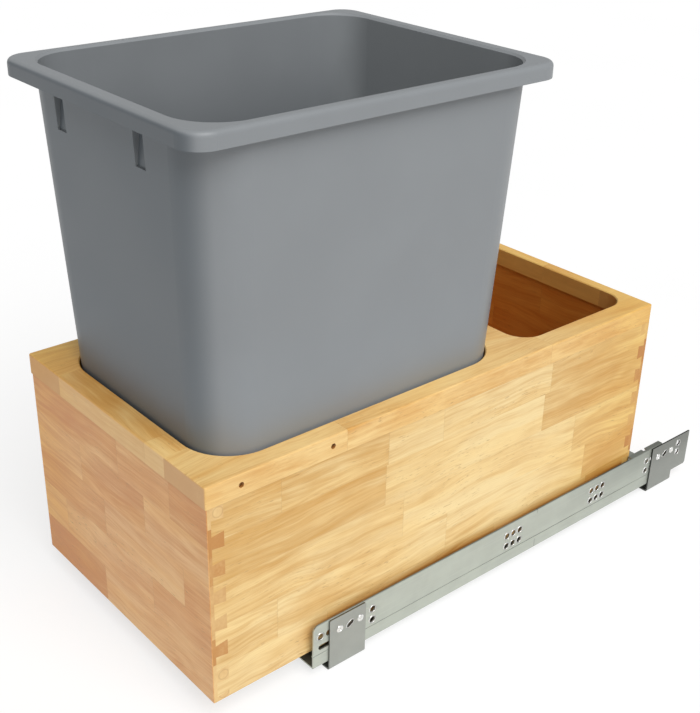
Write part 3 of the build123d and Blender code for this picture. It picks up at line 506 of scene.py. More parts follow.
def make_wood(board, along, across, look, seed, staves, tones, side_staves=None, pins=PIN_TONES):
    """Oiled, glued-up rubberwood. along and across are the axes of the grain and of the staves."""
    material, recipe = new_recipe(f"{board}_rubberwood")
    raw = recipe.place()
    corner = board_corner(board)
    place = {axis: (raw[k] - corner[k]) * PER_METRE for k, axis in enumerate("XYZ")}
    normal = recipe.facing()
    facing = {axis: abs(part) for axis, part in zip("XYZ", normal)}
    depth = next(axis for axis in "XYZ" if axis not in (along, across))
    at = (place[along], place[across], place[depth])
    base, height, cloud = wood_tone(recipe, *at, look, seed, staves, *tones)
    end_facing = facing[along]
    if side_staves:
        # The planks along the two sides of the top board run the other way.
        at = (place[across], place[along], place[depth])
        seed = seed + SIDE_PLANK_SEED
        side, side_height, _ = wood_tone(recipe, *at, look, seed, side_staves, *tones)
        outer = abs(raw[0]).ramp(look.side_plank, look.side_plank + SIDE_PLANK_JOINT)
        base = recipe.mix(outer, base, side)
        height = height * (1.0 - outer) + side_height * outer
        end_facing = facing[along] * (1.0 - outer) + facing[across] * outer
    end = cut_end(recipe, *place.values(), look, pins)
    base = recipe.mix(end_facing.ramp(*SQUARE_ON), base, end)
    if board == "top_board":
        base = paint_top_light_and_shade(recipe, base, raw, normal, look)
    if board == "front_board":
        base = mark_pins(recipe, base, raw, normal, look)
    x, y, z = raw
    # Deeper, warmer tone towards the back and the left.
    warmer = y.ramp(*WARMER_BACK).most((-x).ramp(*WARMER_LEFT))
    base = recipe.stain_and_shade(warmer, base, look.back_left_tone)
    if board.startswith("side_board"):
        base = paint_rail_shade(recipe, base, raw, look)
    # Painted shade: the boards are darker inside the box, where shade falls.
    inside = (
        abs(x).fall(look.inner_half, look.inner_half + SHADE_BORDER)
        * y.ramp(look.inner_front - SHADE_BORDER, look.inner_front)
        * y.fall(look.inner_back, look.inner_back + SHADE_BORDER)
        * z.fall(look.inner_top, look.inner_top + SHADE_BORDER)
    )
    base = recipe.stain_and_shade(inside * look.inner_shade_depth, base, look.inner_shade_tone)
    sheen = cloud.ramp(*SOFT, look.gloss + GLOSS_OVER, look.gloss - GLOSS_UNDER)
    normal = recipe.bump(height, look.grain_height)
    coat = {"Coat_Weight": LACQUER_COAT, "Coat_Roughness": LACQUER_ROUGHNESS}
    recipe.finish(base, sheen, normal, **coat)
    return material


# ---------------------------------------------------------------- plastic
# Moulded plastic: scale, detail and roughness of its clouding and scuffs, detail and roughness
# of its grains, whose scale is a setting, and how the scuffs are drawn out upwards.
FLOW = (11.0, 3.0, 0.5)
SCUFF = (1.0, 5.0, 0.7)
SPARKS = (2.0, 0.6)
SCUFF_SCALE = (60.0, 60.0, 7.0)
SCUFF_EDGE = (0.62, 0.80)
SCUFF_DEPTH = 0.2
SCUFF_ROUGHNESS = 0.06
SCUFFED = 1.10
SCUFFED_LIFT = 0.004
CLOUDED = 0.95
PLASTIC_UNDER = 0.03
PLASTIC_OVER = 0.04
SPARK_HEIGHT = 0.00004
SPARK_STRENGTH = 0.5
PLASTIC_SPECULAR = 0.45

# Painted light and shade on the bin: the tone of each part, how squarely each part faces its way,
# and where it lies, in metres.
BIN_FRONT_SHADE = (0.54, 0.58, 0.61)
BIN_FRONT_FACING = (0.62, 1.0)
BIN_FRONT_HEIGHTS = (0.24, 0.50)
BIN_FRONT_FOOT = 0.90
BIN_FRONT_HALF = -0.2
BIN_RIM_SHADE = (0.82, 0.83, 0.84)
BIN_RIM_FACING = (0.5, 0.9)
BIN_RIM_FROM = 0.489
BIN_FOOT_LIGHT = (1.01, 1.035, 1.06)
BIN_FOOT_HEIGHTS = (0.235, 0.37)
BIN_BACK_LIGHT = (1.22, 1.22, 1.21)
BIN_BACK_HALF = -0.15
BIN_INSIDE_SHADE = (0.55, 0.56, 0.57)
BIN_INSIDE_FACING = (0.3, 0.95)
BIN_INSIDE_HEIGHTS = (0.36, 0.49)


def make_plastic(name, colour, roughness, grains, shading=None):
    """Moulded plastic: faint flow clouding and a fine spark-eroded grain."""
    material, recipe = new_recipe(name)
    place = recipe.place()
    at = recipe.vector(*place)
    cloud = recipe.noise(at, *FLOW)
    sparks = recipe.noise(at, grains, *SPARKS)
    scuff_at = recipe.vector(*(part * scale for part, scale in zip(place, SCUFF_SCALE)))
    scuff = recipe.noise(scuff_at, *SCUFF).ramp(*SCUFF_EDGE)
    paler = tuple(min(1.0, part * SCUFFED + SCUFFED_LIFT) for part in colour)
    darker = tuple(part * CLOUDED for part in colour)
    base = recipe.mix(cloud.ramp(*SOFT), darker, colour)
    base = recipe.mix(scuff * SCUFF_DEPTH, base, paler)
    if shading:
        base = shading(recipe, base, *place)
    rough = cloud.ramp(*SOFT, roughness - PLASTIC_UNDER, roughness + PLASTIC_OVER)
    normal = recipe.bump(sparks, SPARK_HEIGHT, SPARK_STRENGTH)
    rough = rough + scuff * SCUFF_ROUGHNESS
    recipe.finish(base, rough, normal, Specular_IOR_Level=PLASTIC_SPECULAR)
    return material


def bin_light_and_shade(recipe, base, x, y, z):
    """Painted shade on the front, the rim and low inside; painted light at the foot and inside
    behind.
    """
    normal = recipe.facing()
    forward = -normal[1]
    outside = y.under(BIN_FRONT_HALF)
    # Painted shade on the forward faces, deepest high up.
    front = forward.ramp(*BIN_FRONT_FACING) * outside
    front = front * z.ramp(*BIN_FRONT_HEIGHTS, BIN_FRONT_FOOT, 1.0)
    base = recipe.stain_and_shade(front, base, BIN_FRONT_SHADE)
    # Painted shade on the front of the rim.
    rim = forward.ramp(*BIN_RIM_FACING) * (1.0 - z.under(BIN_RIM_FROM)) * outside
    base = recipe.stain_and_shade(rim, base, BIN_RIM_SHADE)
    # Painted light: the foot made cooler and lighter against the warm light bounced off the wood.
    base = recipe.stain_and_shade(z.fall(*BIN_FOOT_HEIGHTS), base, BIN_FOOT_LIGHT)
    # Painted light on the inner back wall.
    back = forward.ramp(*BIN_INSIDE_FACING) * (1.0 - y.under(BIN_BACK_HALF))
    base = recipe.stain_and_shade(back, base, BIN_BACK_LIGHT)
    # Painted shade low on the inner left wall.
    left = normal[0].ramp(*BIN_INSIDE_FACING) * x.under(0.0)
    return recipe.stain_and_shade(left * z.fall(*BIN_INSIDE_HEIGHTS), base, BIN_INSIDE_SHADE)


# ---------------------------------------------------------------- steel
# Plated sheet: turns per metre along and across its streaks, then the scale, detail and
# roughness of streaks, blotches and flecks.
ROLLED_ALONG = 9.0
ROLLED_ACROSS = 500.0
STREAK = (1.0, 3.0, 0.6)
BLOTCH = (38.0, 3.0, 0.5)
FLECK = (420.0, 2.0, 0.5)
BLOTCH_EDGE = (0.3, 0.72)
STREAK_EDGE = (0.45, 0.7)
FLECK_EDGE = (0.62, 0.72)
FLECK_DEPTH = 0.3
DULL = 0.88
BRIGHT = 1.07
GRIME_AND_SHADE = (0.08, 0.08, 0.075)
STEEL_UNDER = 0.04
STEEL_OVER = 0.06
STREAK_ROUGHNESS = 0.05
STREAK_HEIGHT = 0.00002
PLATED_METALLIC = 0.75

# Grime all over the plating, and the heights over which the rear ends of rails and brackets darken.
GRIME_ALL = 0.04
REAR_HEIGHTS = (0.024, 0.056)
# Painted shade on the rail's upward-facing edges: where its front stretch ends, and how dark they
# are before and behind.
EDGE_PLACES = (0.16, 0.18)
EDGE_SHADE_DEPTHS = (0.62, 0.22)
# Painted shade in the bead and in the crimps of the rail.
BEAD_HEIGHT = 0.0238
BEAD_EDGE = (0.0002, 0.0016)
BEAD_SHADE = 0.06
CRIMP_PLACE = 0.021
CRIMP_EDGE = (0.0003, 0.0009)
CRIMP_HEIGHTS = (0.0205, 0.052)
CRIMP_SHADE = 0.3
RAIL_REAR = (0.02, 0.24)
RAIL_REAR_DEPTHS = (0.25, 0.10)
BRACKET_REAR = (0.1, 0.2)
BRACKET_REAR_DEPTHS = (0.22, 0.16)
# Painted shade on the bracket's cut edges that face up and forwards.
BRACKET_TOP_SHADE = 0.7
BRACKET_FRONT_SHADE = 0.6
# Painted highlight on the lips: painted shade on their faces turned away from forwards and up.
LIP_EDGE = (-0.25, 0.45)
LIP_SHADE = 0.75


def make_steel(name, colour, roughness, run, spangle=0.5, streaks=0.35, shading=None):
    """Zinc-plated sheet: rolling streaks along the sheet and faint blotches in the plating."""
    material, recipe = new_recipe(name)
    x, y, z = recipe.place()
    place = {"X": x, "Y": y, "Z": z}
    across = [place[axis] * ROLLED_ACROSS for axis in "XYZ" if axis != run]
    streak = recipe.noise(recipe.vector(place[run] * ROLLED_ALONG, *across), *STREAK)
    at = recipe.vector(x, y, z)
    blotch = recipe.noise(at, *BLOTCH)
    fleck = recipe.noise(at, *FLECK)
    dull = tuple(part * DULL for part in colour)
    bright = tuple(min(1.0, part * BRIGHT) for part in colour)
    base = recipe.mix(blotch.ramp(*BLOTCH_EDGE), dull, colour)
    base = recipe.mix(streak.ramp(*STREAK_EDGE) * streaks, base, bright)
    base = recipe.mix(fleck.ramp(*FLECK_EDGE) * FLECK_DEPTH * spangle, base, dull)
    if shading:
        # The shading function gives how dark the painted shade and grime are.
        base = recipe.stain_and_shade(shading(recipe, y, z), base, GRIME_AND_SHADE)
    rough = blotch.ramp(*SOFT, roughness - STEEL_UNDER, roughness + STEEL_OVER)
    rough = rough + streak * STREAK_ROUGHNESS
    normal = recipe.bump(streak, STREAK_HEIGHT, streaks)
    recipe.finish(base, rough, normal, Metallic=PLATED_METALLIC)
    return material


def rail_shade_and_grime(recipe, y, z):
    """Painted shade on upward edges, in the bead and in two crimps; a darker rear end, and grime.
    """
    upward = recipe.facing()[2].ramp(*TURNED_TO) * y.ramp(*EDGE_PLACES, *EDGE_SHADE_DEPTHS)
    bead = abs(z - BEAD_HEIGHT).ramp(*BEAD_EDGE, BEAD_SHADE, 0.0)
    low, high = CRIMP_HEIGHTS
    crimp = abs(y - CRIMP_PLACE).fall(*CRIMP_EDGE) * (z.under(low) + (1.0 - z.under(high)))
    more, least = RAIL_REAR_DEPTHS
    rear = y.ramp(*RAIL_REAR) * (z.ramp(*REAR_HEIGHTS) * more + least)
    return upward + bead + crimp * CRIMP_SHADE + rear + GRIME_ALL


def bracket_shade_and_grime(recipe, y, z):
    """Painted shade on cut edges facing up and forwards, and a darker rear bracket."""
    normal = recipe.facing()
    upward = normal[2].ramp(*TURNED_TO) * BRACKET_TOP_SHADE
    forward = (-normal[1]).ramp(*TURNED_TO) * BRACKET_FRONT_SHADE
    more, least = BRACKET_REAR_DEPTHS
    rear = y.ramp(*BRACKET_REAR) * (z.ramp(*REAR_HEIGHTS) * more + least)
    return upward.most(forward) + rear + GRIME_ALL


def lip_painted_highlight(recipe, y, z):
    """Painted highlight: bright where the lip faces forwards and up, painted shade on the other
    side.
    """
    normal = recipe.facing()
    return (normal[2] - normal[1]).ramp(*LIP_EDGE, LIP_SHADE, 0.0)


# ---------------------------------------------------------------- screws and hole lips
# Places and sizes here are in millimetres. RAIL_SIDES is the way that each rail's web faces, and
# WEB_OUTER and BRACKET_OUTER are how far out its face and the bracket's face lie.
RAIL_SIDES = (1.0, -1.0)
WEB_OUTER = 149.5
BRACKET_OUTER = 151.1
WEB_HOLE_PLACES = (-201.0, -22.7, -13.5, -4.3, 107.8, 117.0, 126.2, 202.8)
WEB_HOLES = (*((y, z) for z in (31.0, 43.0) for y in WEB_HOLE_PLACES), (-261.7, 43.0))
TAB_HOLES = ((258.5, 35.5), (258.5, 46.5))
BRACKET_SLOTS = ((-229.0, 42.0), (234.0, 42.0))
BRACKET_SCREWS = tuple((y + step, z) for y, z in BRACKET_SLOTS for step in (-12.0, 12.0))
CLIP_SCREWS = tuple((x, -351.5, 29.2) for x in (-87.0, -69.0, 69.0, 87.0))
# Each kind of screw: radius and height of its head, radius of its shank, and its length.
BRACKET_SCREW = (3.7, 1.0, 2.0, 5.0)
CLIP_SCREW = (2.8, 2.0, 1.5, 12.0)
# How far the first bracket screw is turned, and each next one further, in radians.
FIRST_TURN = 0.3
NEXT_TURN = 0.9
# Outline of a pan head, as shares of its radius and height, and of the screw's point, as a share
# of the shank's radius and millimetres from its end.
HEAD_OUTLINE = (
    (0.97, 0.0), (1.0, 0.12), (0.95, 0.45), (0.80, 0.74), (0.58, 0.91), (0.30, 0.985), (0.08, 1.0),
)
POINT_OUTLINE = ((0.25, 0.0), (0.85, 0.7), (1.0, 1.2))
# The cross recess: reach and half width of its arms at the floor and at the top, as shares of the
# head's radius, then the height of its floor and how far the cutter stands above the head.
RECESS_FLOOR = (0.40, 0.07)
RECESS_TOP = (0.62, 0.15)
RECESS_HEIGHT = 0.25
RECESS_OVER = 0.2
# Sections of a pressed lip, as (outwards from the hole's edge, above the sheet).
HOLE_LIP = (
    (0.0, -0.1), (0.05, 0.30), (0.28, 0.50), (0.58, 0.50), (0.92, 0.34), (1.2, 0.03), (1.2, -0.1),
)
SLOT_LIP = (
    (0.0, -0.1), (0.04, 0.20), (0.20, 0.32), (0.42, 0.32), (0.65, 0.22), (0.85, 0.02), (0.85, -0.1),
)
HOLE_RADIUS = 3.1
SLOT_RADIUS = 2.1
SLOT_REACH = 4.3
SLOT_TURN = math.radians(34.0)
LIP_STEPS = 24
RING_POINTS = 40
SHARP_FROM = math.radians(42.0)


def skin(loops, endless=False):
    """A closed mesh through loops of points. An endless one joins its last loop to its first."""
    shape = bmesh.new()
    rows = [[shape.verts.new(point) for point in loop] for loop in loops]
    onward = rows[1:] + rows[:1] if endless else rows[1:]
    for row, following in zip(rows, onward):
        for k, vertex in enumerate(row):
            after = (k + 1) % len(row)
            shape.faces.new((vertex, row[after], following[after], following[k]))
    if not endless:
        shape.faces.new(rows[0])
        shape.faces.new(rows[-1])
    bmesh.ops.recalc_face_normals(shape, faces=shape.faces)
    mesh = bpy.data.meshes.new("skin")
    shape.to_mesh(mesh)
    shape.free()
    return mesh


def circle(radius, height):
    """Points round a circle at a height."""
    turn = math.tau / RING_POINTS
    return [
        (radius * math.cos(k * turn), radius * math.sin(k * turn), height)
        for k in range(RING_POINTS)
    ]


def cross(reach, half, height):
    """Outline of a cross with four arms."""
    corner = [(half, half), (half, reach), (-half, reach)]
    points = []
    for quarter in range(4):
        turn = quarter * math.pi / 2.0
        cosine, sine = math.cos(turn), math.sin(turn)
        points += [(x * cosine - y * sine, x * sine + y * cosine, height) for x, y in corner]
    return points


def carve(mesh, waste):
    """The mesh with the waste cut out of it."""
    solid = bpy.data.objects.new("solid", mesh)
    cutter = bpy.data.objects.new("cutter", waste)
    for item in (solid, cutter):
        bpy.context.scene.collection.objects.link(item)
    cut = solid.modifiers.new("cut", "BOOLEAN")
    cut.operation = "DIFFERENCE"
    cut.solver = "EXACT"
    cut.object = cutter
    evaluated = solid.evaluated_get(bpy.context.evaluated_depsgraph_get())
    left = bpy.data.meshes.new_from_object(evaluated)
    for item in (solid, cutter):
        bpy.data.objects.remove(item)
    return left


def screw_mesh(radius, height, shank, length):
    """A pan-head screw with a cross recess, head up, its seat at zero."""
    profile = [(shank * share, rise - length) for share, rise in POINT_OUTLINE]
    profile.append((shank, 0.0))
    profile += [(radius * share, height * rise) for share, rise in HEAD_OUTLINE]
    body = skin([circle(*ring) for ring in profile])
    floor = cross(*(radius * share for share in RECESS_FLOOR), height * RECESS_HEIGHT)
    top = cross(*(radius * share for share in RECESS_TOP), height + RECESS_OVER)
    return carve(body, skin([floor, top]))


def lip_mesh(radius, reach, section):
    """A pressed lip round a hole, or round a slot whose two centres are reach apart."""
    path = []
    for way in (1.0, -1.0):
        for k in range(LIP_STEPS + (reach > 0.0)):
            path.append((way * reach / 2.0, (k / LIP_STEPS - way * 0.5) * math.pi))
    loops = [
        [
            (centre + (radius + out) * math.cos(turn), (radius + out) * math.sin(turn), up)
            for centre, turn in path
        ]
        for out, up in section
    ]
    return skin(loops, endless=True)


def outward(way, plane, y, z, turn=0.0):
    """Place on a rail's outer face, in metres: the mesh's Z points away from the box."""
    at = Matrix.Translation((way * plane * MM, y * MM, z * MM))
    axes = Matrix((
        (0.0, 0.0, way, 0.0),
        (way, 0.0, 0.0, 0.0),
        (0.0, 1.0, 0.0, 0.0),
        (0.0, 0.0, 0.0, 1.0),
    ))
    return at @ axes @ Matrix.Rotation(way * turn, 4, "Z") @ Matrix.Scale(MM, 4)


def add_piece(name, parts, material, body):
    """One piece made of copies of meshes, each at its own place, that rides on a body."""
    shape = bmesh.new()
    for mesh, places in parts:
        for place in places:
            copy = mesh.copy()
            copy.transform(place)
            shape.from_mesh(copy)
            bpy.data.meshes.remove(copy)
    joined = bpy.data.meshes.new(name)
    shape.to_mesh(joined)
    shape.free()
    joined.materials.clear()
    joined.materials.append(material)
    joined.shade_smooth()
    joined.set_sharp_from_angle(angle=SHARP_FROM)
    piece = bpy.data.objects.new(name, joined)
    bpy.context.scene.collection.objects.link(piece)
    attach(piece, body)
    return piece


def add_screws(material):
    """Pan-head screws in the brackets and in the two clips."""
    head = screw_mesh(*BRACKET_SCREW)
    places = [
        outward(way, BRACKET_OUTER, y, z, FIRST_TURN + k * NEXT_TURN)
        for way in RAIL_SIDES
        for k, (y, z) in enumerate(BRACKET_SCREWS)
    ]
    parts = [(head, places)]
    screws = add_piece("bracket_screw_set", parts, material, "cabinet_side")
    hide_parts("bracket_screws")
    head = screw_mesh(*CLIP_SCREW)
    backward = Matrix.Rotation(math.radians(-90.0), 4, "X") @ Matrix.Scale(MM, 4)
    places = [Matrix.Translation(Vector(place) * MM) @ backward for place in CLIP_SCREWS]
    screws = add_piece("clip_screw_set", [(head, places)], material, "box")
    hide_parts("clip_screws")


def add_lips(material):
    """Lips where the holes and slots were pressed through the sheet, with a painted highlight."""
    round_lip = lip_mesh(HOLE_RADIUS, 0.0, HOLE_LIP)
    slot_lip = lip_mesh(SLOT_RADIUS, SLOT_REACH, SLOT_LIP)
    for side, way in zip(("right", "left"), RAIL_SIDES):
        holes = [outward(way, WEB_OUTER, y, z) for y, z in WEB_HOLES]
        holes += [outward(way, BRACKET_OUTER, y, z) for y, z in TAB_HOLES]
        slots = [outward(way, BRACKET_OUTER, y, z, SLOT_TURN) for y, z in BRACKET_SLOTS]
        parts = [(round_lip, holes), (slot_lip, slots)]
        add_piece(f"rail_hole_lips_{side}", parts, material, "cabinet_side")


# ---------------------------------------------------------------- properties
def tone_setting(name, description, default):
    return bpy.props.FloatVectorProperty(
        name=name, description=description, default=default, subtype="COLOR"
    )


def share_setting(name, description, default):
    return bpy.props.FloatProperty(
        name=name, description=description, default=default, subtype="FACTOR"
    )


def length_setting(name, description, default):
    return bpy.props.FloatProperty(
        name=name, description=description, default=default, unit="LENGTH"
    )


class WasteUnitWood(bpy.types.PropertyGroup):
    side_plank: length_setting(
        "Side planks from", "Where the top board's side planks begin", 0.0855
    )
    streak: share_setting("Streaks", "Strength of the streaks along the grain", 1.0)
    cloud: share_setting("Clouding", "Strength of the soft pale and deep patches", 1.25)
    arcs: share_setting("Arcs", "Strength of the growth rings' arcs", 0.085)
    first_pin: bpy.props.FloatProperty(
        name="First pin", description="Centre of the lowest tail, in mm", default=12.7
    )
    pin_pitch: bpy.props.FloatProperty(
        name="Pin pitch", description="Spacing of the pins, in mm", default=27.0
    )
    swirl: bpy.props.FloatProperty(
        name="Swirl", description="How far a swirl pushes the grain, in mm", default=16.0
    )
    pore_depth: share_setting("Pores", "Strength of the dark pores", 0.55)
    gloss: share_setting("Roughness", "Roughness of the lacquered wood", 0.48)
    grain_height: length_setting("Grain height", "Depth of the grain in the lacquer", 0.00010)
    inner_half: length_setting("Inside, half width", "Half the width inside the box", 0.1275)
    inner_front: length_setting("Inside, front", "Where the inside of the box begins", -0.3555)
    inner_back: length_setting("Inside, back", "Where the inside of the box ends", 0.1670)
    inner_top: length_setting("Inside, top", "Underside of the top board", 0.2195)
    # Painted shade inside the box and on the top board's cut-out walls.
    inner_shade_depth: share_setting(
        "Inside, shade depth", "How much painted shade darkens the boards inside the box", 0.9
    )
    inner_shade_tone: tone_setting("Inside, shade tone", "Painted shade inside the box", (0.75, 0.50, 0.22))
    back_left_tone: tone_setting("Back and left tone", "Deeper, warmer tone towards the back and the left", (0.96, 0.87, 0.58))
    rail_line: length_setting("Rail line", "Height at which the rail hides the side", 0.0518)
    # Painted shade in the corner above the rail.
    rail_shade_tone: tone_setting("Rail shade tone", "Painted shade in the corner above the rail", (0.84, 0.53, 0.19))
    side_pale: tone_setting("Side, pale", "Palest tone of the side boards", (0.93, 0.72, 0.36))
    side_deep: tone_setting("Side, deep", "Deepest tone of the side boards", (0.66, 0.37, 0.095))
    # Also the painted light on the top board's forward-facing edges.
    front_pale_and_lit_edge: tone_setting("Front, pale", "Palest tone of the front board, and painted light on the top's forward edges", (1.0, 0.63, 0.28))
    front_deep: tone_setting("Front, deep", "Deepest tone of the front board", (0.74, 0.315, 0.085))
    top_pale: tone_setting("Top, pale", "Palest tone of the top board", (0.93, 0.66, 0.28))
    top_deep: tone_setting("Top, deep", "Deepest tone of the top board", (0.70, 0.36, 0.085))
    end_pale: tone_setting("Cut end, pale", "Palest tone of the cut ends", (0.86, 0.61, 0.27))
    end_deep: tone_setting("Cut end, deep", "Deepest tone of the cut ends", (0.55, 0.245, 0.056))
    # Also the colour of painted shade in the pilot holes and above the rail.
    pore_and_shade_tone: tone_setting("Pore tone", "Colour of the pores and glue lines, and of painted shade in holes and above the rail", (0.40, 0.20, 0.06))


class WasteUnitPlastic(bpy.types.PropertyGroup):
    bin_colour: tone_setting("Bin", "Colour of the bin", (0.258, 0.274, 0.287))
    bin_roughness: share_setting("Bin roughness", "Roughness of the bin", 0.41)
    grain_scale: bpy.props.FloatProperty(
        name="Grain scale", description="Grains of the moulded skin per metre", default=1500.0
    )


class WasteUnitSteel(bpy.types.PropertyGroup):
    plating: tone_setting("Plating", "Colour of the zinc plating", (0.565, 0.60, 0.535))
    bracket: tone_setting("Bracket", "Colour of the bracket's plating", (0.43, 0.445, 0.41))
    # The screws' colour, also the painted highlight on the lips of the holes.
    screw: tone_setting(
        "Screws", "Colour of the screws, and the painted highlight on the lips of the holes", (0.88, 0.88, 0.86)
    )
    roughness: share_setting("Roughness", "Roughness of the plated sheet", 0.42)


class WasteUnitStage(bpy.types.PropertyGroup):
    sun_power: bpy.props.FloatProperty(
        name="Key light", description="Strength of the key light", default=2.65
    )
    sky: bpy.props.FloatProperty(
        name="Fill light", description="Strength of the light all round", default=0.256
    )
    sun_width: bpy.props.FloatProperty(
        name="Key width", description="Apparent width of the key light",
        default=math.radians(50.0), subtype="ANGLE",
    )


# ---------------------------------------------------------------- operators
# Each board, the axes of its grain and of its staves, its seed, its staves and its tones.
BOARDS = (
    ("side_board_right", "Y", "Z", 1.0, SIDE_STAVES, "side"),
    ("side_board_left", "Y", "Z", 2.0, SIDE_STAVES, "side"),
    ("front_board", "X", "Z", 5.0, FRONT_STAVES, "front"),
    ("back_board", "X", "Z", 8.0, FRONT_STAVES, "front"),
    ("bottom_panel", "X", "Y", 11.0, TOP_STAVES, "front"),
)
TOP_SEED = 14.0
# Small parts out of sight: name, colour and roughness of the plastic, and the nodes it is on.
SMALL_PLASTICS = (
    ("cage_dark_plastic", (0.045, 0.046, 0.05), 0.5, ("lower_cage", "upper_cage")),
    ("roller_white_plastic", (0.75, 0.75, 0.72), 0.35, ("lower_rollers", "upper_rollers")),
    ("damper_grey_plastic", (0.10, 0.105, 0.11), 0.48, ("damper_housing", "damper_catch")),
    ("clip_grey_plastic", (0.16, 0.165, 0.17), 0.45, ("clip_body", "release_lever")),
)
DRAWN_STEEL = (0.62, 0.63, 0.64)
DRAWN_ROUGHNESS = 0.3
# Spangle and streaks of the bracket's plating, and of the screws' and the lips'.
BRACKET_SPANGLE = (0.7, 0.06)
BRIGHT_SPANGLE = (0.2, 0.1)
SCREW_ROUGHNESS = 0.26
LIP_ROUGHNESS = 0.30


class WASTEUNIT_OT_wood(bpy.types.Operator):
    """Gives every board its glued-up, lacquered rubberwood"""

    bl_idname = "wasteunit.wood"
    bl_label = "Dress the Boards"

    def execute(self, context):
        look = context.scene.waste_unit_wood
        tones = {
            "side": (look.side_pale, look.side_deep),
            "front": (look.front_pale_and_lit_edge, look.front_deep),
            "top": (look.top_pale, look.top_deep),
        }
        for board, along, across, seed, staves, tone in BOARDS:
            dress(make_wood(board, along, across, look, seed, staves, tones[tone]), board)
        planks = (TOP_STAVES, tones["top"], TOP_SIDE_STAVES, TOP_END_TONES)
        dress(make_wood("top_board", "X", "Y", look, TOP_SEED, *planks), "top_board")
        return {"FINISHED"}


class WASTEUNIT_OT_bin(bpy.types.Operator):
    """Gives the bin its grey moulded skin"""

    bl_idname = "wasteunit.bin"
    bl_label = "Dress the Bin"

    def execute(self, context):
        look = context.scene.waste_unit_plastic
        settings = (look.bin_colour, look.bin_roughness, look.grain_scale)
        dress(make_plastic("bin_grey_plastic", *settings, bin_light_and_shade), "bin")
        return {"FINISHED"}


class WASTEUNIT_OT_slides(bpy.types.Operator):
    """Gives the slides, brackets and screws their zinc plating and the small parts their plastic"""

    bl_idname = "wasteunit.slides"
    bl_label = "Dress the Slides"

    def execute(self, context):
        look = context.scene.waste_unit_steel
        grains = context.scene.waste_unit_plastic.grain_scale
        rough = look.roughness
        rail = make_steel("rail_zinc_plating", look.plating, rough, "Y", shading=rail_shade_and_grime)
        bracket = make_steel(
            "bracket_zinc_plating", look.bracket, rough, "Y", *BRACKET_SPANGLE, bracket_shade_and_grime
        )
        screw = make_steel("screw_bright_zinc", look.screw, SCREW_ROUGHNESS, "X", *BRIGHT_SPANGLE)
        # The lips get the screws' bright colour as a painted highlight.
        lip = make_steel(
            "lip_zinc_painted_highlight", look.screw, LIP_ROUGHNESS, "Y", *BRIGHT_SPANGLE, lip_painted_highlight
        )
        drawn = make_steel("damper_drawn_steel", DRAWN_STEEL, DRAWN_ROUGHNESS, "Y")
        dress(rail, *both("cabinet_rail", "intermediate_rail", "drawer_rail"))
        dress(bracket, *both("front_bracket", "rear_bracket"))
        dress(drawn, *both("damper_cylinder", "piston_rod"))
        add_screws(screw)
        add_lips(lip)
        for name, colour, roughness, nodes in SMALL_PLASTICS:
            dress(make_plastic(name, colour, roughness, grains), *both(*nodes))
        return {"FINISHED"}


class WASTEUNIT_OT_stage(bpy.types.Operator):
    """Sets the floor, the soft light and the camera"""

    bl_idname = "wasteunit.stage"
    bl_label = "Set the Stage"

    def execute(self, context):
        look = context.scene.waste_unit_stage
        context.scene.view_settings.view_transform = "Standard"
        make_floor()
        make_world(look.sky)
        make_key_light(look)
        make_camera()
        return {"FINISHED"}


# ---------------------------------------------------------------- stage
WHITE = (1.0, 1.0, 1.0)
FLOOR_HALF = 30.0
FLOOR_MOTTLE = (3.0, 2.0, 0.5)
FLOOR_DULL = (0.86, 0.86, 0.86)
FLOOR_PALE = (0.88, 0.88, 0.88)
# The floor's own glow where the camera sees it, its share there, and its share in a reflection.
FLOOR_GLOW = 1.12
FLOOR_GLOW_SHARE = 0.62
FLOOR_MIRRORED = 0.6
SKY_MIRRORED = 0.26
KEY_TOWARDS = (0.50, -0.08, 0.68)

# Camera, worked out from the corners of the box in the photograph: place in metres, angles in
# degrees, roll in radians, and focal length and sensor in millimetres.
CAMERA_PLACE = (0.769165, -0.772308, 0.728821)
CAMERA_AZIMUTH = 49.0933
CAMERA_ELEVATION = 27.0176
CAMERA_ROLL = 0.023872
CAMERA_LENS = 59.096
CAMERA_SENSOR = 36.0
CAMERA_SIGHT = 200.0


def seen_directly(recipe, mirrored):
    """One where the camera looks, straight or through glass, and a share of it in reflections."""
    path = recipe.node("ShaderNodeLightPath")
    straight = Term(recipe, path.outputs["Is Camera Ray"])
    seen = straight.most(Term(recipe, path.outputs["Is Transmission Ray"]))
    return seen.most(Term(recipe, path.outputs["Is Glossy Ray"]) * mirrored)


def make_floor():
    mesh = bpy.data.meshes.new("floor")
    half = FLOOR_HALF
    corners = [(-half, -half, 0.0), (half, -half, 0.0), (half, half, 0.0), (-half, half, 0.0)]
    mesh.from_pydata(corners, [], [(0, 1, 2, 3)])
    floor = bpy.data.objects.new("floor", mesh)
    bpy.context.scene.collection.objects.link(floor)
    material, recipe = new_recipe("floor_white")
    mottle = recipe.noise(recipe.vector(*recipe.place()), *FLOOR_MOTTLE).ramp(*SOFT)
    plain = recipe.mix(mottle, FLOOR_DULL, FLOOR_PALE)
    diffuse = recipe.node("ShaderNodeBsdfDiffuse", None, {"Color": plain}).outputs[0]
    light = {"Color": WHITE, "Strength": FLOOR_GLOW}
    glow = recipe.node("ShaderNodeEmission", None, light).outputs[0]
    inputs = {0: FLOOR_GLOW_SHARE, 1: diffuse, 2: glow}
    lifted = recipe.node("ShaderNodeMixShader", None, inputs).outputs[0]
    inputs = {0: seen_directly(recipe, FLOOR_MIRRORED), 1: diffuse, 2: lifted}
    surface = recipe.node("ShaderNodeMixShader", None, inputs).outputs[0]
    recipe.node("ShaderNodeOutputMaterial", None, {"Surface": surface})
    mesh.materials.append(material)


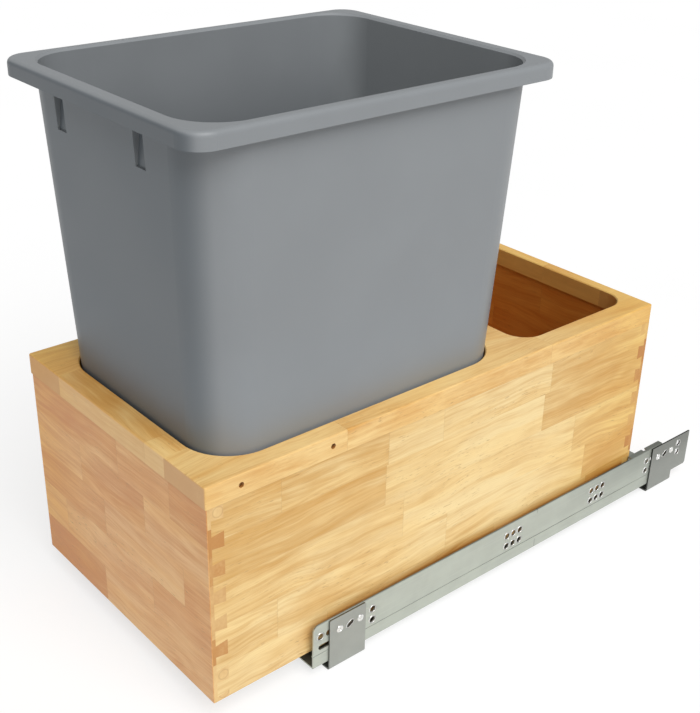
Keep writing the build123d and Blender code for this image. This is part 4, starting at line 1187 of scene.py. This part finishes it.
def make_world(sky):
    """White wherever it is looked at, and a soft fill light at the strength of the sky."""
    world = bpy.data.worlds.new("studio")
    bpy.context.scene.world = world
    world.use_nodes = True
    recipe = Recipe(world.node_tree)
    strength = seen_directly(recipe, SKY_MIRRORED) * (1.0 - sky) + sky
    background = recipe.node("ShaderNodeBackground", None, {"Color": WHITE, "Strength": strength})
    recipe.node("ShaderNodeOutputWorld", None, {"Surface": background.outputs[0]})


def make_key_light(look):
    lamp = bpy.data.lights.new("key", "SUN")
    lamp.energy = look.sun_power
    lamp.angle = look.sun_width
    key = bpy.data.objects.new("key", lamp)
    bpy.context.scene.collection.objects.link(key)
    key.rotation_euler = Vector(KEY_TOWARDS).to_track_quat("Z", "Y").to_euler()


def make_camera():
    """Camera where the photograph was taken from."""
    data = bpy.data.cameras.new("camera")
    data.sensor_fit = "AUTO"
    data.sensor_width = CAMERA_SENSOR
    data.lens = CAMERA_LENS
    data.clip_end = CAMERA_SIGHT
    camera = bpy.data.objects.new("camera", data)
    bpy.context.scene.collection.objects.link(camera)
    azimuth = math.radians(CAMERA_AZIMUTH)
    elevation = math.radians(CAMERA_ELEVATION)
    back = Vector((
        math.sin(azimuth) * math.cos(elevation),
        -math.cos(azimuth) * math.cos(elevation),
        math.sin(elevation),
    ))
    level = Vector((math.cos(azimuth), math.sin(azimuth), 0.0))
    upward = back.cross(level)
    right = math.cos(CAMERA_ROLL) * level + math.sin(CAMERA_ROLL) * upward
    up = math.cos(CAMERA_ROLL) * upward - math.sin(CAMERA_ROLL) * level
    rows = [(right[k], up[k], back[k], CAMERA_PLACE[k]) for k in range(3)]
    camera.matrix_world = Matrix((*rows, (0.0, 0.0, 0.0, 1.0)))
    bpy.context.scene.camera = camera


# ---------------------------------------------------------------- panel and registration
GROUPS = (
    ("waste_unit_wood", "wasteunit.wood"),
    ("waste_unit_plastic", "wasteunit.bin"),
    ("waste_unit_steel", "wasteunit.slides"),
    ("waste_unit_stage", "wasteunit.stage"),
)


class WASTEUNIT_PT_looks(bpy.types.Panel):
    """Sizes and colours of the waste unit's looks"""

    bl_label = "Waste Unit"
    bl_idname = "WASTEUNIT_PT_looks"
    bl_space_type = "VIEW_3D"
    bl_region_type = "UI"
    bl_category = "Waste Unit"

    def draw(self, context):
        scene = context.scene
        for group, operator in GROUPS:
            box = self.layout.box()
            settings = getattr(scene, group)
            for name in settings.__annotations__:
                box.prop(settings, name)
            box.operator(operator)


SETTINGS = (WasteUnitWood, WasteUnitPlastic, WasteUnitSteel, WasteUnitStage)
OPERATORS = (WASTEUNIT_OT_wood, WASTEUNIT_OT_bin, WASTEUNIT_OT_slides, WASTEUNIT_OT_stage)


def register():
    for kind in (*SETTINGS, *OPERATORS, WASTEUNIT_PT_looks):
        bpy.utils.register_class(kind)
    for (group, _), kind in zip(GROUPS, SETTINGS):
        setattr(bpy.types.Scene, group, bpy.props.PointerProperty(type=kind))


def unregister():
    for group, _ in GROUPS:
        delattr(bpy.types.Scene, group)
    for kind in reversed((*SETTINGS, *OPERATORS, WASTEUNIT_PT_looks)):
        bpy.utils.unregister_class(kind)


def main():
    register()
    bpy.ops.wasteunit.wood()
    bpy.ops.wasteunit.bin()
    bpy.ops.wasteunit.slides()
    bpy.ops.wasteunit.stage()


if __name__ == "__main__":
    main()
